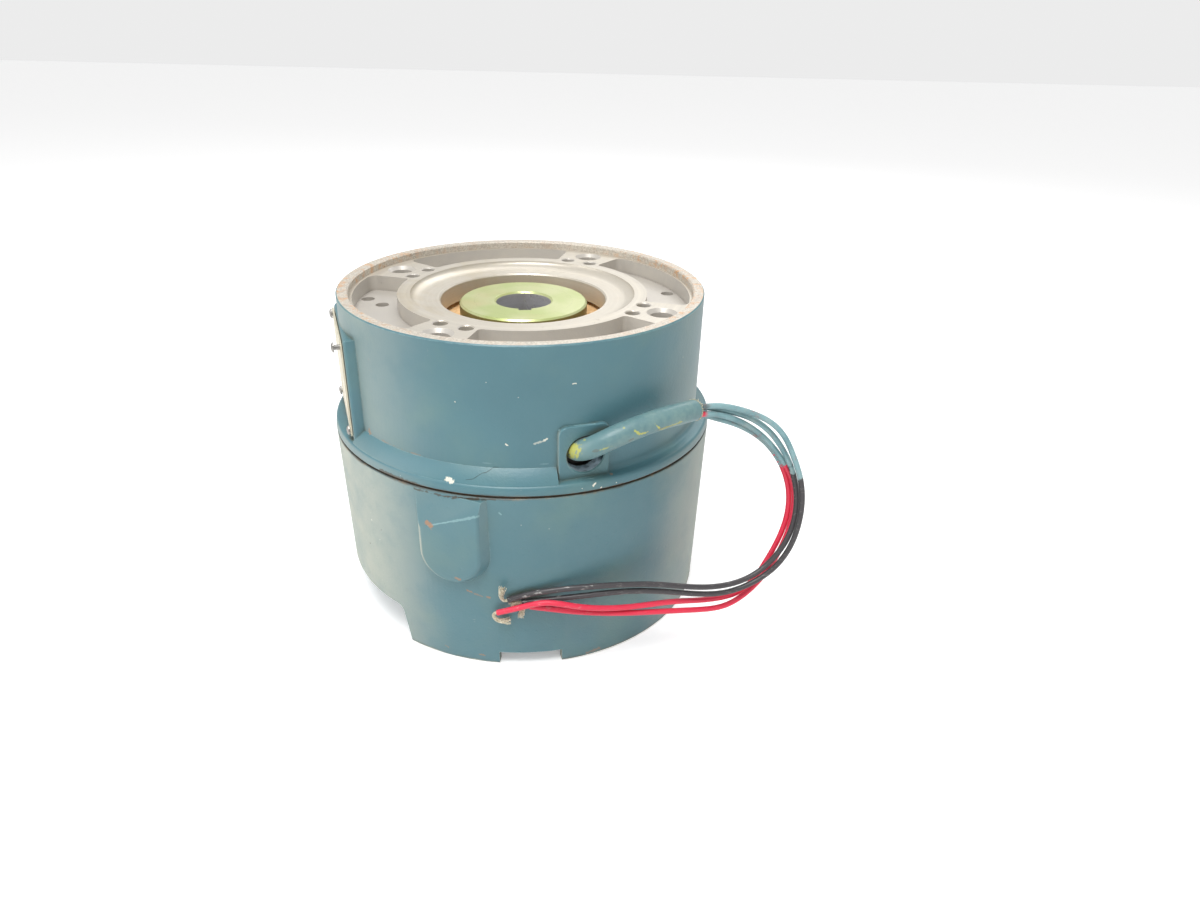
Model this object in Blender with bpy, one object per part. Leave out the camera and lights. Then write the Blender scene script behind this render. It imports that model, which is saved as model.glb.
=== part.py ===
"""Spring applied brake: a flange mounted friction brake, released by a coil and applied by springs.

The brake stands on its cover with the mounting face up. The origin is on the floor in the middle of the
cover, +Z points up and -Y is the side with the lead hole. Springs push the pressure plate up, which clamps
two friction discs and a plain disc against the housing. The coil pulls the plate down and frees the hub.
"""

import math

import bmesh
import bpy
import numpy as np
from mathutils import Matrix, Vector

MM = 0.001
DEG = math.pi / 180.0

# Clearances
GAP = 0.3 * MM
STUD_CLEARANCE = 0.35 * MM
SPLINE_CLEARANCE = 0.35 * MM

# Facets round a circle, and round a wire
OUTER_STEPS = 60
INNER_STEPS = 40
BORE_STEPS = 28
EARED_STEPS = 52
HOLE_STEPS = 10
SMALL_HOLE_STEPS = 8
PORT_STEPS = 12
BOSS_FOOT_STEPS = 10
LEAD_HOLE_STEPS = 20
SLEEVE_SIDES = 10
LEAD_RESOLUTION = 2
STRAND_RESOLUTION = 2
SPRING_RESOLUTION = 0

# Both castings at their joint
CASING_RADIUS = 124.0 * MM

# Cover: drafted skirt, end wall and the posts under the magnet body
COVER_HEIGHT = 120.5 * MM
COVER_DRAFT = 2.6 * MM
COVER_WALL = 6.0 * MM
EDGE_ROUND = 1.0 * MM
END_WALL_HEIGHT = 30.0 * MM
END_WALL_THICKNESS = 8.0 * MM
POST_RADIUS = 9.0 * MM
POST_INSIDE_STUDS = 22.0 * MM
POST_ANGLES = [(45.0 + 90.0 * turn) * DEG for turn in range(4)]

# Notches in the foot of the skirt, as the angles of their ends and their height
FRONT_NOTCH = (261.2 * DEG, 279.5 * DEG)
FRONT_NOTCH_HEIGHT = 9.0 * MM
SIDE_NOTCH = (176.0 * DEG, 232.5 * DEG)
SIDE_NOTCH_HEIGHT = 26.0 * MM
SIDE_NOTCH_SLOPE = 3.0 * DEG
SIDE_NOTCH_CORNER = 4.0 * MM

# Boss on the cover wall: a raised tongue with a sloping top
BOSS_ANGLE = 249.5 * DEG
BOSS_STAND = 4.3 * MM
BOSS_HALF_WIDTH = 18.2 * MM
BOSS_FLARE = 0.55
BOSS_FOOT_BELOW_JOINT = 39.0 * MM
BOSS_TOP_BELOW_JOINT = 1.5 * MM
BOSS_SLOPE_BELOW_JOINT = 17.3 * MM
BOSS_SLOPE_SIDE = 0.35
BOSS_SLOPE_BACK = 0.30
BOSS_EDGE = 1.6 * MM

# Gasket in the joint
GASKET_THICKNESS = 0.5 * MM
GASKET_INSET = 1.1 * MM

# Housing: flange, wall, rim and web
HOUSING_HEIGHT = 85.4 * MM
FLANGE_LEDGE = 9.0 * MM
FLANGE_THICKNESS = 5.8 * MM
FLANGE_DRAFT = 2.0 * MM
WALL_THICKNESS = 7.5 * MM
WALL_FILLET = 3.0 * MM
RIM_CHAMFER = 0.7 * MM
RIM_WIDTH = 7.05 * MM
REGISTER_DEPTH = 4.7 * MM
REGISTER_LEAD = 0.8 * MM
WEB_THICKNESS = 19.5 * MM
CAVETTO_DEPTH = 4.3 * MM
BORE_RADIUS = 52.6 * MM
BORE_CHAMFER = 0.9 * MM
RELIEF_STEP = 5.4 * MM
RELIEF_DEPTH = 2.7 * MM

# Rings of the mounting face, as shares of the way from the bore to the outside of the pockets
FACE_RING_SHARE = 0.4944
CAVETTO_SHARE = 0.3446
CAVETTO_FOOT_SHARE = 0.176
BOLT_CIRCLE_SHARE = 0.794
TAP_CIRCLE_SHARE = 0.5131

# Pockets between the four mounting pads
PAD_ANGLES = [(60.0 + 90.0 * turn) * DEG for turn in range(4)]
PAD_SPAN = 22.8 * DEG
POCKET_INSIDE_REGISTER = 1.95 * MM
POCKET_DEPTH = 9.8 * MM
POCKET_OUTER_CORNER = 6.0 * MM
POCKET_INNER_CORNER = 2.5 * MM

# Holes in the mounting face
BOLT_HOLE_RADIUS = 7.15 * MM
BOLT_HOLE_SINK = 2.2 * MM
BOLT_HOLE_DEPTH = 15.0 * MM
TAP_ANGLE = 6.2 * DEG
TAP_RADIUS = 4.3 * MM
TAP_SINK = 0.6 * MM
TAP_DEPTH = 12.0 * MM
POCKET_HOLE_PLACES = [(5.0 * MM, 173.0 * DEG), (16.5 * MM, 180.0 * DEG), (6.0 * MM, 13.6 * DEG)]
POCKET_HOLE_RADIUS = 4.2 * MM
POCKET_HOLE_DEPTH = 6.0 * MM

# Raised arc rib on the flange
RIB_SPAN = (212.0 * DEG, 278.3 * DEG)
RIB_FOOT_HEIGHT = 1.4 * MM
RIB_EDGE_HEIGHT = 6.7 * MM
RIB_WALL_HEIGHT = 13.4 * MM
RIB_SETBACK = 0.1 * MM
RIB_EDGE_SETBACK = 1.8 * MM

# Pad that the name plate is fixed to, and the plate with its drive screws
PLATE_PAD_ANGLE = 194.5 * DEG
PLATE_PAD_STAND = 0.8 * MM
PLATE_PAD_HALF_WIDTH = 37.0 * MM
PLATE_PAD_BELOW_RIM = 15.5 * MM
PLATE_PAD_EDGE = 2.5 * MM
NAMEPLATE_WIDTH = 70.0 * MM
NAMEPLATE_THICKNESS = 1.0 * MM
NAMEPLATE_BELOW_RIM = 17.0 * MM
NAMEPLATE_ABOVE_FLANGE = 8.4 * MM
NAMEPLATE_CORNER = 2.0 * MM
DRIVE_SCREW_INSET = 3.5 * MM
DRIVE_SCREW_RADIUS = 1.5 * MM
DRIVE_SCREW_LENGTH = 5.5 * MM
DRIVE_SCREW_HEAD_RADIUS = 3.0 * MM
DRIVE_SCREW_HEAD_HEIGHT = 1.8 * MM
DRIVE_SCREW_LOOSE = 3.0 * MM

# Pad round the lead hole
LEAD_PAD_ANGLE = 286.0 * DEG
LEAD_PAD_STAND = 2.2 * MM
LEAD_PAD_HALF_WIDTH = 15.0 * MM
LEAD_PAD_ABOVE_HOLE = 18.1 * MM
LEAD_PAD_CORNER = 5.0 * MM
LEAD_PAD_EDGE = 0.8 * MM
LEAD_HOLE_RADIUS = 11.1 * MM
LEAD_HOLE_SIDE = 0.9 * MM
LEAD_HOLE_CHAMFER = 0.8 * MM

# Disc stack, from the housing's friction face down
FRICTION_DISC_INSIDE_STUDS = 8.0 * MM
FRICTION_DISC_THICKNESS = 6.0 * MM
STATIONARY_DISC_THICKNESS = 4.5 * MM
STATIONARY_DISC_RIM = 3.0 * MM
PRESSURE_PLATE_THICKNESS = 12.1 * MM
PRESSURE_PLATE_RIM = 6.0 * MM
RELEASE_TRAVEL = 1.2 * MM
PLATE_EAR_PAST_STUDS = 8.5 * MM
PLATE_EAR_HALF_WIDTH = 20.3 * MM
PLATE_BORE_CLEARANCE = 6.0 * MM

# Magnet body, coil and springs
MAGNET_CLEARANCE = 3.5 * MM
MAGNET_HEIGHT = 55.5 * MM
INNER_POLE_WIDTH = 16.0 * MM
COIL_GROOVE_INSIDE_STUDS = 16.0 * MM
COIL_GROOVE_WIDTH = 19.0 * MM
COIL_GROOVE_FLOOR = 18.0 * MM
COIL_BELOW_MOUTH = 3.2 * MM
SPRING_INSIDE_STUDS = 4.0 * MM
SPRING_ANGLES = [(23.0 + 60.0 * turn) * DEG for turn in range(6)]
SPRING_POCKET_RADIUS = 6.5 * MM
SPRING_POCKET_DEPTH = 24.5 * MM
SPRING_WIRE_RADIUS = 1.1 * MM
SPRING_TURNS = 3
SPRING_TURN_STEPS = 8

# Shouldered studs that tie the magnet body to the housing and guide the plates
STUD_INSIDE_MAGNET = 7.0 * MM
STUD_ANGLES = [(38.0 + 90.0 * turn) * DEG for turn in range(4)]
STUD_RADIUS = 4.0 * MM
STUD_SHOULDER_RADIUS = 6.0 * MM
STUD_SEAT_DEPTH = 7.0 * MM
STUD_BELOW_NUT = 1.5 * MM
NUT_HEIGHT = 6.5 * MM
NUT_FLATS_RADIUS = 6.5 * MM

# Cap screws that hold the cover to the magnet body
COVER_SCREW_RADIUS = 4.0 * MM
COVER_SCREW_HEAD_RADIUS = 6.5 * MM
COVER_SCREW_HEAD_HEIGHT = 8.0 * MM
COVER_SCREW_REACH = 11.0 * MM
HEX_KEY_RADIUS = 3.4 * MM
HEX_KEY_DEPTH = 4.0 * MM

# Hub
HUB_BORE_RADIUS = 17.5 * MM
HUB_COLLAR_RADIUS = 40.8 * MM
HUB_COLLAR_ABOVE_SEAT = 12.9 * MM
HUB_CHAMFER = 1.2 * MM
HUB_LENGTH = 32.5 * MM
KEYWAY_WIDTH = 8.0 * MM
KEYWAY_DEPTH = 3.6 * MM
KEYWAY_ANGLE = 272.0 * DEG
SPLINE_TEETH = 18
SPLINE_TIP_RADIUS = 40.0 * MM
SPLINE_ROOT_RADIUS = 36.0 * MM
SPLINE_TIP_SHARE = 0.20
SPLINE_ROOT_SHARE = 0.29

# Sleeve over the leads, and the port that it leaves the magnet body by
SLEEVE_RADIUS = 6.25 * MM
SLEEVE_BORE_RADIUS = 5.55 * MM
PORT_BELOW_MAGNET_TOP = 9.9 * MM
PORT_SIDE = -3.4 * MM
PORT_CLEARANCE = 0.4 * MM
SLEEVE_STATION = 5.4 * MM

# Sleeve's line in the lead pad's frame: out from the brake's axis, along the wall and up, in millimetres
SLEEVE_LINE = [
    (90.0, -3.4, 141.6), (97.0, -3.4, 141.6), (104.0, -3.4, 141.65), (110.0, -3.4, 142.5),
    (115.8, -2.6, 144.5), (121.0, 0.6, 147.4), (124.6, 6.2, 151.2), (126.0, 14.0, 154.8),
    (125.9, 22.8, 157.3), (124.5, 33.0, 159.0), (121.8, 45.0, 159.7), (117.8, 57.0, 158.9),
    (112.3, 69.4, 157.2),
]

# Casing radius and lead height that these routes were drawn for, in millimetres. On another size of brake the
# routes move out with the casing, in a direction that turns from the lead pad's to the tail's along them.
ROUTE_BASIS = (124.0, 141.6)
ROUTE_TURN = 105.0
TAIL_ANGLE = 268.0 * DEG

# Leads: diameter, place in the sleeve (right of travel, up) and route past the sleeve in millimetres
LEAD_RADIUS = 1.75 * MM
LEAD_PITCH = 1.93 * MM
LEAD_PAST_COIL = 1.0 * MM
LEAD_STATION = 10.4 * MM
HELD_LEAD_STATION = 6.2 * MM
SLEEVE_MOUTH_STEPS = 4
LEADS = {
    "lead_black_1": ((1, 1), [
        (111.1, -87.5, 159.1), (121.8, -86.0, 156.8), (135.0, -85.5, 152.3), (145.6, -86.5, 146.8),
        (154.3, -88.0, 137.9), (160.1, -90.0, 127.0), (165.3, -92.0, 114.2), (168.1, -94.5, 100.5),
        (167.9, -97.0, 85.7), (164.0, -99.5, 68.8), (154.8, -102.0, 53.9), (140.3, -105.0, 44.3),
        (122.5, -108.8, 40.4), (102.4, -113.0, 43.3), (79.4, -118.0, 49.9), (55.5, -122.6, 54.1),
        (33.2, -125.4, 54.2), (14.2, -126.0, 52.8), (-4.0, -125.2, 50.6),
    ]),
    "lead_black_2": ((-1, 1), [
        (112.3, -83.5, 155.2), (123.2, -82.0, 152.0), (134.7, -81.5, 147.4), (145.1, -82.5, 140.3),
        (153.3, -84.0, 130.8), (159.7, -86.0, 120.1), (164.1, -88.2, 108.6), (166.3, -90.5, 97.0),
        (165.9, -93.2, 84.1), (161.9, -96.4, 70.7), (154.2, -99.4, 59.2), (142.2, -103.0, 49.7),
        (125.4, -107.8, 45.9), (102.0, -113.0, 48.4), (79.1, -118.0, 54.8), (55.5, -122.6, 59.1),
        (33.1, -125.4, 60.4), (12.4, -126.4, 59.2), (-0.4, -125.8, 56.5), (-12.2, -125.0, 52.4),
    ]),
    "lead_red_1": ((1, -1), [
        (111.7, -87.0, 153.2), (122.9, -84.5, 149.0), (135.1, -82.5, 141.8), (146.2, -82.0, 132.3),
        (155.5, -82.6, 121.1), (162.7, -84.0, 109.1), (166.4, -86.0, 95.8), (166.0, -88.5, 81.9),
        (163.0, -91.2, 69.5), (157.8, -94.2, 57.3), (150.6, -97.2, 45.7), (140.5, -100.6, 35.2),
        (126.5, -105.0, 28.1), (107.1, -111.0, 29.3), (88.2, -116.0, 33.0), (64.9, -121.5, 37.0),
        (42.4, -125.2, 40.7), (25.5, -126.0, 43.3), (12.5, -125.2, 45.0), (0.6, -124.4, 46.6),
    ]),
    "lead_red_2": ((-1, -1), [
        (113.1, -82.8, 148.6), (124.4, -80.4, 144.0), (136.5, -78.8, 137.3), (146.2, -78.6, 129.6),
        (153.7, -79.2, 120.7), (159.4, -80.4, 110.7), (163.0, -82.0, 100.0), (164.1, -84.0, 89.5),
        (163.0, -86.2, 78.7), (160.0, -88.4, 68.5), (155.7, -90.6, 58.7), (150.5, -92.6, 48.7),
        (144.3, -94.4, 38.8), (135.7, -97.4, 32.5), (122.8, -102.6, 31.8), (107.1, -108.8, 35.0),
        (87.9, -115.5, 39.7), (64.7, -121.5, 41.9), (45.2, -127.0, 45.5), (28.8, -130.0, 49.7),
        (18.7, -131.0, 52.8), (8.8, -130.8, 53.9), (-1.7, -129.6, 51.1), (-10.0, -127.6, 47.4),
        (-18.6, -125.2, 43.5),
    ]),
}

# Bared strands at the lead ends: the points past the insulation, in millimetres
STRAND_RADIUS = 0.9 * MM
STRANDS = {
    "strands_black_1": [(-4.35, -125.18, 50.56), (-7.5, -125.1, 50.0), (-11.5, -124.8, 49.0)],
    "strands_black_2": [
        (-12.53, -124.98, 52.29), (-14.1, -124.9, 51.8), (-15.6, -125.6, 54.0), (-15.8, -126.6, 58.0),
        (-15.3, -127.2, 63.5),
    ],
    "strands_red_1": [
        (0.25, -124.38, 46.65), (-1.6, -124.3, 46.7), (-3.6, -125.2, 45.2), (-4.6, -126.2, 42.5),
        (-4.8, -126.4, 39.5),
    ],
    "strands_red_2": [
        (-18.91, -125.11, 43.36), (-20.2, -124.75, 42.8), (-20.9, -124.4, 40.8), (-19.2, -124.6, 38.2),
        (-15.5, -124.9, 37.0), (-10.8, -125.0, 36.6),
    ],
}

# Levels worked out from the sizes above
GASKET_Z = COVER_HEIGHT + GAP
FLANGE_Z = GASKET_Z + GASKET_THICKNESS + GAP
RIM_Z = FLANGE_Z + HOUSING_HEIGHT
FACE_Z = RIM_Z - REGISTER_DEPTH
WEB_FLOOR_Z = FACE_Z - CAVETTO_DEPTH
POCKET_Z = FACE_Z - POCKET_DEPTH
FRICTION_Z = FACE_Z - WEB_THICKNESS
UPPER_DISC_Z = FRICTION_Z - GAP - FRICTION_DISC_THICKNESS
STATIONARY_Z = UPPER_DISC_Z - GAP - STATIONARY_DISC_THICKNESS
LOWER_DISC_Z = STATIONARY_Z - GAP - FRICTION_DISC_THICKNESS
PLATE_Z = LOWER_DISC_Z - GAP - PRESSURE_PLATE_THICKNESS
MAGNET_TOP_Z = PLATE_Z - RELEASE_TRAVEL - GAP
MAGNET_Z = MAGNET_TOP_Z - MAGNET_HEIGHT
HUB_SEAT_Z = UPPER_DISC_Z + FRICTION_DISC_THICKNESS + GAP
HUB_TOP_Z = HUB_SEAT_Z + HUB_COLLAR_ABOVE_SEAT
HUB_Z = HUB_TOP_Z - HUB_LENGTH
LEAD_Z = MAGNET_TOP_Z - PORT_BELOW_MAGNET_TOP

# Radii worked out from the casing's, from the outside in
COVER_BOTTOM_RADIUS = CASING_RADIUS - COVER_DRAFT
COVER_BORE_RADIUS = COVER_BOTTOM_RADIUS - COVER_WALL
WALL_RADIUS = CASING_RADIUS - FLANGE_LEDGE
REGISTER_RADIUS = WALL_RADIUS - RIM_WIDTH
POCKET_OUTER_RADIUS = REGISTER_RADIUS - POCKET_INSIDE_REGISTER
FACE_WIDTH = POCKET_OUTER_RADIUS - BORE_RADIUS
FACE_RING_RADIUS = BORE_RADIUS + FACE_WIDTH * FACE_RING_SHARE
CAVETTO_RADIUS = BORE_RADIUS + FACE_WIDTH * CAVETTO_SHARE
CAVETTO_FOOT_RADIUS = BORE_RADIUS + FACE_WIDTH * CAVETTO_FOOT_SHARE
BOLT_CIRCLE = BORE_RADIUS + FACE_WIDTH * BOLT_CIRCLE_SHARE
TAP_CIRCLE = BORE_RADIUS + FACE_WIDTH * TAP_CIRCLE_SHARE
RELIEF_RADIUS = BORE_RADIUS + RELIEF_STEP
CAVITY_RADIUS = WALL_RADIUS - WALL_THICKNESS
MAGNET_RADIUS = CAVITY_RADIUS - MAGNET_CLEARANCE
STUD_CIRCLE = MAGNET_RADIUS - STUD_INSIDE_MAGNET
POST_CIRCLE = STUD_CIRCLE - POST_INSIDE_STUDS
SPRING_CIRCLE = STUD_CIRCLE - SPRING_INSIDE_STUDS
FRICTION_DISC_RADIUS = STUD_CIRCLE - FRICTION_DISC_INSIDE_STUDS
STATIONARY_DISC_RADIUS = FRICTION_DISC_RADIUS + STATIONARY_DISC_RIM
PRESSURE_PLATE_RADIUS = SPRING_CIRCLE + PRESSURE_PLATE_RIM
PLATE_EAR_RADIUS = STUD_CIRCLE + PLATE_EAR_PAST_STUDS
PLATE_EAR_HALF_SPAN = PLATE_EAR_HALF_WIDTH / STUD_CIRCLE
PLATE_BORE_RADIUS = SPLINE_TIP_RADIUS + PLATE_BORE_CLEARANCE
COIL_GROOVE_OUTER_RADIUS = STUD_CIRCLE - COIL_GROOVE_INSIDE_STUDS
COIL_GROOVE_INNER_RADIUS = COIL_GROOVE_OUTER_RADIUS - COIL_GROOVE_WIDTH
MAGNET_BORE_RADIUS = COIL_GROOVE_INNER_RADIUS - INNER_POLE_WIDTH
LEAD_START = COIL_GROOVE_OUTER_RADIUS + LEAD_PAST_COIL
PLATE_PAD_FACE = WALL_RADIUS + PLATE_PAD_STAND
LEAD_PAD_FACE = WALL_RADIUS + LEAD_PAD_STAND
BOSS_FACE = CASING_RADIUS + BOSS_STAND
PORT_RADIUS = SLEEVE_RADIUS + PORT_CLEARANCE
STUD_HOLE_RADIUS = STUD_RADIUS + STUD_CLEARANCE
GUIDE_HOLE_RADIUS = STUD_SHOULDER_RADIUS + STUD_CLEARANCE
SCREW_HOLE_RADIUS = COVER_SCREW_RADIUS + GAP
DRIVE_HOLE_RADIUS = DRIVE_SCREW_RADIUS + GAP

# How far a cutter runs past the face that it opens
OVERCUT = 6.0 * MM

FINISHES = {
    "teal_paint": ((0.050, 0.150, 0.175), 0.55, 0.0),
    "machined_iron": ((0.55, 0.52, 0.47), 0.38, 0.9),
    "zinc_yellow": ((0.60, 0.62, 0.40), 0.30, 0.9),
    "friction_lining": ((0.55, 0.33, 0.18), 0.80, 0.0),
    "steel": ((0.50, 0.50, 0.49), 0.32, 1.0),
    "magnet_iron": ((0.20, 0.20, 0.20), 0.45, 0.9),
    "coil_varnish": ((0.30, 0.10, 0.04), 0.40, 0.0),
    "gasket_brown": ((0.09, 0.06, 0.04), 0.85, 0.0),
    "plate_cream": ((0.75, 0.72, 0.62), 0.40, 0.3),
    "lead_black": ((0.02, 0.02, 0.02), 0.45, 0.0),
    "lead_red": ((0.60, 0.02, 0.03), 0.40, 0.0),
    "copper_strand": ((0.45, 0.36, 0.27), 0.45, 0.8),
}


def clear_scene():
    """Remove every object that the file starts with."""
    for old in list(bpy.data.objects):
        bpy.data.objects.remove(old, do_unlink=True)


def finish_for(name, finish):
    """A Principled material for one sub-part."""
    colour, roughness, metallic = FINISHES[finish]
    material = bpy.data.materials.new(name + "_" + finish)
    material.use_nodes = True
    shader = material.node_tree.nodes["Principled BSDF"]
    shader.inputs["Base Color"].default_value = (*colour, 1.0)
    shader.inputs["Roughness"].default_value = roughness
    shader.inputs["Metallic"].default_value = metallic
    material.diffuse_color = (*colour, 1.0)
    return material


def mesh_from(bm, name):
    """A mesh from a bmesh, with outward faces and round faces shaded smooth."""
    bmesh.ops.recalc_face_normals(bm, faces=bm.faces)
    mesh = bpy.data.meshes.new(name)
    bm.to_mesh(mesh)
    bm.free()
    mesh.shade_smooth()
    mesh.set_sharp_from_angle(angle=32.0 * DEG)
    return mesh


def add_part(name, mesh, finish, location=(0.0, 0.0, 0.0), rotation=(0.0, 0.0, 0.0), parent=None):
    """Put a mesh in the scene as a named sub-part with its own material."""
    part = bpy.data.objects.new(name, mesh)
    if finish:
        if not mesh.materials:
            mesh.materials.append(finish_for(name, finish))
        else:
            part.material_slots[0].link = "OBJECT"
            part.material_slots[0].material = finish_for(name, finish)
    part.location = location
    part.rotation_euler = rotation
    part.parent = parent
    bpy.context.scene.collection.objects.link(part)
    return part


def combine(part, bm, name, operation="DIFFERENCE", matrix=None):
    """Cut a shape out of a sub-part, or join it on, by a Boolean that stays on the sub-part."""
    tool = bpy.data.objects.new(name, mesh_from(bm, name))
    if matrix is not None:
        tool.matrix_world = matrix
    tool.display_type = "WIRE"
    tool.hide_render = True
    bpy.context.scene.collection.objects.link(tool)
    step = part.modifiers.new(name, "BOOLEAN")
    step.operation = operation
    step.solver = "EXACT"
    step.object = tool
    return tool


def turned(profile, steps, bm=None, matrix=None):
    """Spin a closed profile of (radius, height) points round the Z axis."""
    shape = bmesh.new()
    ring = [shape.verts.new((radius, 0.0, height)) for radius, height in profile]
    for first, second in zip(ring, ring[1:] + ring[:1]):
        if first.co.x > 0.0 or second.co.x > 0.0:
            shape.edges.new((first, second))
    bmesh.ops.spin(
        shape, geom=ring + shape.edges[:], cent=(0.0, 0.0, 0.0), axis=(0.0, 0.0, 1.0),
        angle=2.0 * math.pi, steps=steps, use_merge=True,
    )
    bmesh.ops.remove_doubles(shape, verts=shape.verts, dist=0.001 * MM)
    return joined(shape, bm, matrix)


def prism(outline, low, high, bm=None, matrix=None):
    """Extrude a closed outline of (x, y) points from one height to another."""
    shape = bmesh.new()
    base = shape.faces.new([shape.verts.new((x, y, low)) for x, y in outline])
    raised = bmesh.ops.extrude_face_region(shape, geom=[base])
    tops = [item for item in raised["geom"] if isinstance(item, bmesh.types.BMVert)]
    bmesh.ops.translate(shape, verts=tops, vec=(0.0, 0.0, high - low))
    return joined(shape, bm, matrix)


def joined(shape, bm, matrix):
    """Move a shape by a matrix, and add it to another bmesh where one is given."""
    if matrix is not None:
        shape.transform(matrix)
    bmesh.ops.recalc_face_normals(shape, faces=shape.faces)
    if bm is None:
        return shape
    copy = {vert: bm.verts.new(vert.co) for vert in shape.verts}
    for face in shape.faces:
        bm.faces.new([copy[vert] for vert in face.verts])
    shape.free()
    return bm


def wall_frame(angle):
    """Frame of a flat on the wall: X along the wall, Y up and Z straight out from the brake's axis."""
    out = Vector((math.cos(angle), math.sin(angle), 0.0))
    along = Vector((-math.sin(angle), math.cos(angle), 0.0))
    up = Vector((0.0, 0.0, 1.0))
    return Matrix((along, up, out)).transposed().to_4x4()


def circle(radius, steps, centre=(0.0, 0.0), start=0.0):
    """Points of a circle."""
    turns = [start + 2.0 * math.pi * step / steps for step in range(steps)]
    return [(centre[0] + radius * math.cos(turn), centre[1] + radius * math.sin(turn)) for turn in turns]


def arc(radius, start, end, steps, centre=(0.0, 0.0)):
    """Points along an arc, both ends included."""
    turns = [start + (end - start) * step / steps for step in range(steps + 1)]
    return [(centre[0] + radius * math.cos(turn), centre[1] + radius * math.sin(turn)) for turn in turns]


def round_corners(bm, chooser, width, segments):
    """Round the edges that a chooser picks."""
    edges = [edge for edge in bm.edges if chooser(edge)]
    bmesh.ops.bevel(
        bm, geom=edges, offset=width, offset_type="OFFSET", segments=segments, profile=0.5,
        affect="EDGES", clamp_overlap=True,
    )


def on_circle(radius, angle, height):
    """A point at a radius and an angle."""
    return (radius * math.cos(angle), radius * math.sin(angle), height)


def hole(bm, radius, low, high, place, steps=HOLE_STEPS):
    """Add a plain round hole along Z to a cutter."""
    return prism(circle(radius, steps, place[:2]), low, high, bm)


def sunk_hole(bm, radius, sink, floor, face, place):
    """Add a blind hole with a countersunk mouth to a cutter."""
    over = face + OVERCUT
    profile = [
        (0.0, floor), (radius, floor), (radius, face - sink),
        (radius + sink, face), (radius + sink, over), (0.0, over),
    ]
    return turned(profile, HOLE_STEPS, bm, Matrix.Translation((place[0], place[1], 0.0)))


def sector(start, end, end_top, inner, outer, low, high, corner):
    """A block between two angles, whose far end may lean, for a notch in the skirt."""
    shape = bmesh.new()
    steps = 10
    loops = []
    for height, last in ((low, end), (high, end_top)):
        outline = arc(outer, start, last, steps) + arc(inner, last, start, steps)
        loops.append([shape.verts.new((x, y, height)) for x, y in outline])
    shape.faces.new(loops[0])
    shape.faces.new(loops[1])
    count = len(loops[0])
    for index in range(count):
        after = (index + 1) % count
        shape.faces.new((loops[0][index], loops[0][after], loops[1][after], loops[1][index]))
    if corner:
        lean = loops[1][steps], loops[1][steps + 1]
        round_corners(shape, lambda edge: edge.verts[0] in lean and edge.verts[1] in lean, corner, 2)
    bmesh.ops.recalc_face_normals(shape, faces=shape.faces)
    return shape


def build_cover():
    """Lower casting: skirt, end wall, posts, notches and the boss on its wall."""
    top = COVER_HEIGHT
    upper_bore = CASING_RADIUS - COVER_WALL
    wall_top = END_WALL_HEIGHT + END_WALL_THICKNESS
    profile = [
        (0.0, END_WALL_HEIGHT), (COVER_BORE_RADIUS, END_WALL_HEIGHT), (COVER_BORE_RADIUS, 0.0),
        (COVER_BOTTOM_RADIUS - EDGE_ROUND, 0.0), (COVER_BOTTOM_RADIUS, EDGE_ROUND),
        (CASING_RADIUS, top - EDGE_ROUND), (CASING_RADIUS - EDGE_ROUND, top),
        (upper_bore, top), (COVER_BORE_RADIUS, wall_top), (0.0, wall_top),
    ]
    cover = add_part("cover", mesh_from(turned(profile, OUTER_STEPS), "cover"), "teal_paint")
    posts = bmesh.new()
    for angle in POST_ANGLES:
        hole(posts, POST_RADIUS, END_WALL_HEIGHT + END_WALL_THICKNESS / 2.0, MAGNET_Z - GAP,
             on_circle(POST_CIRCLE, angle, 0.0))
    combine(cover, posts, "cover_posts", "UNION")
    combine(cover, boss_shape(), "cover_boss", "UNION", wall_frame(BOSS_ANGLE))
    holes = bmesh.new()
    for angle in POST_ANGLES:
        hole(holes, SCREW_HOLE_RADIUS, END_WALL_HEIGHT - OVERCUT, MAGNET_Z + OVERCUT,
             on_circle(POST_CIRCLE, angle, 0.0))
    combine(cover, holes, "cover_screw_holes")
    inner = COVER_BORE_RADIUS - OVERCUT
    outer = CASING_RADIUS + OVERCUT
    front = sector(*FRONT_NOTCH, FRONT_NOTCH[1], inner, outer, -OVERCUT, FRONT_NOTCH_HEIGHT, 0.0)
    combine(cover, front, "front_notch")
    side = sector(*SIDE_NOTCH, SIDE_NOTCH[1] - SIDE_NOTCH_SLOPE, inner, outer, -OVERCUT,
                  SIDE_NOTCH_HEIGHT, SIDE_NOTCH_CORNER)
    combine(cover, side, "side_notch")
    return cover


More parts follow.
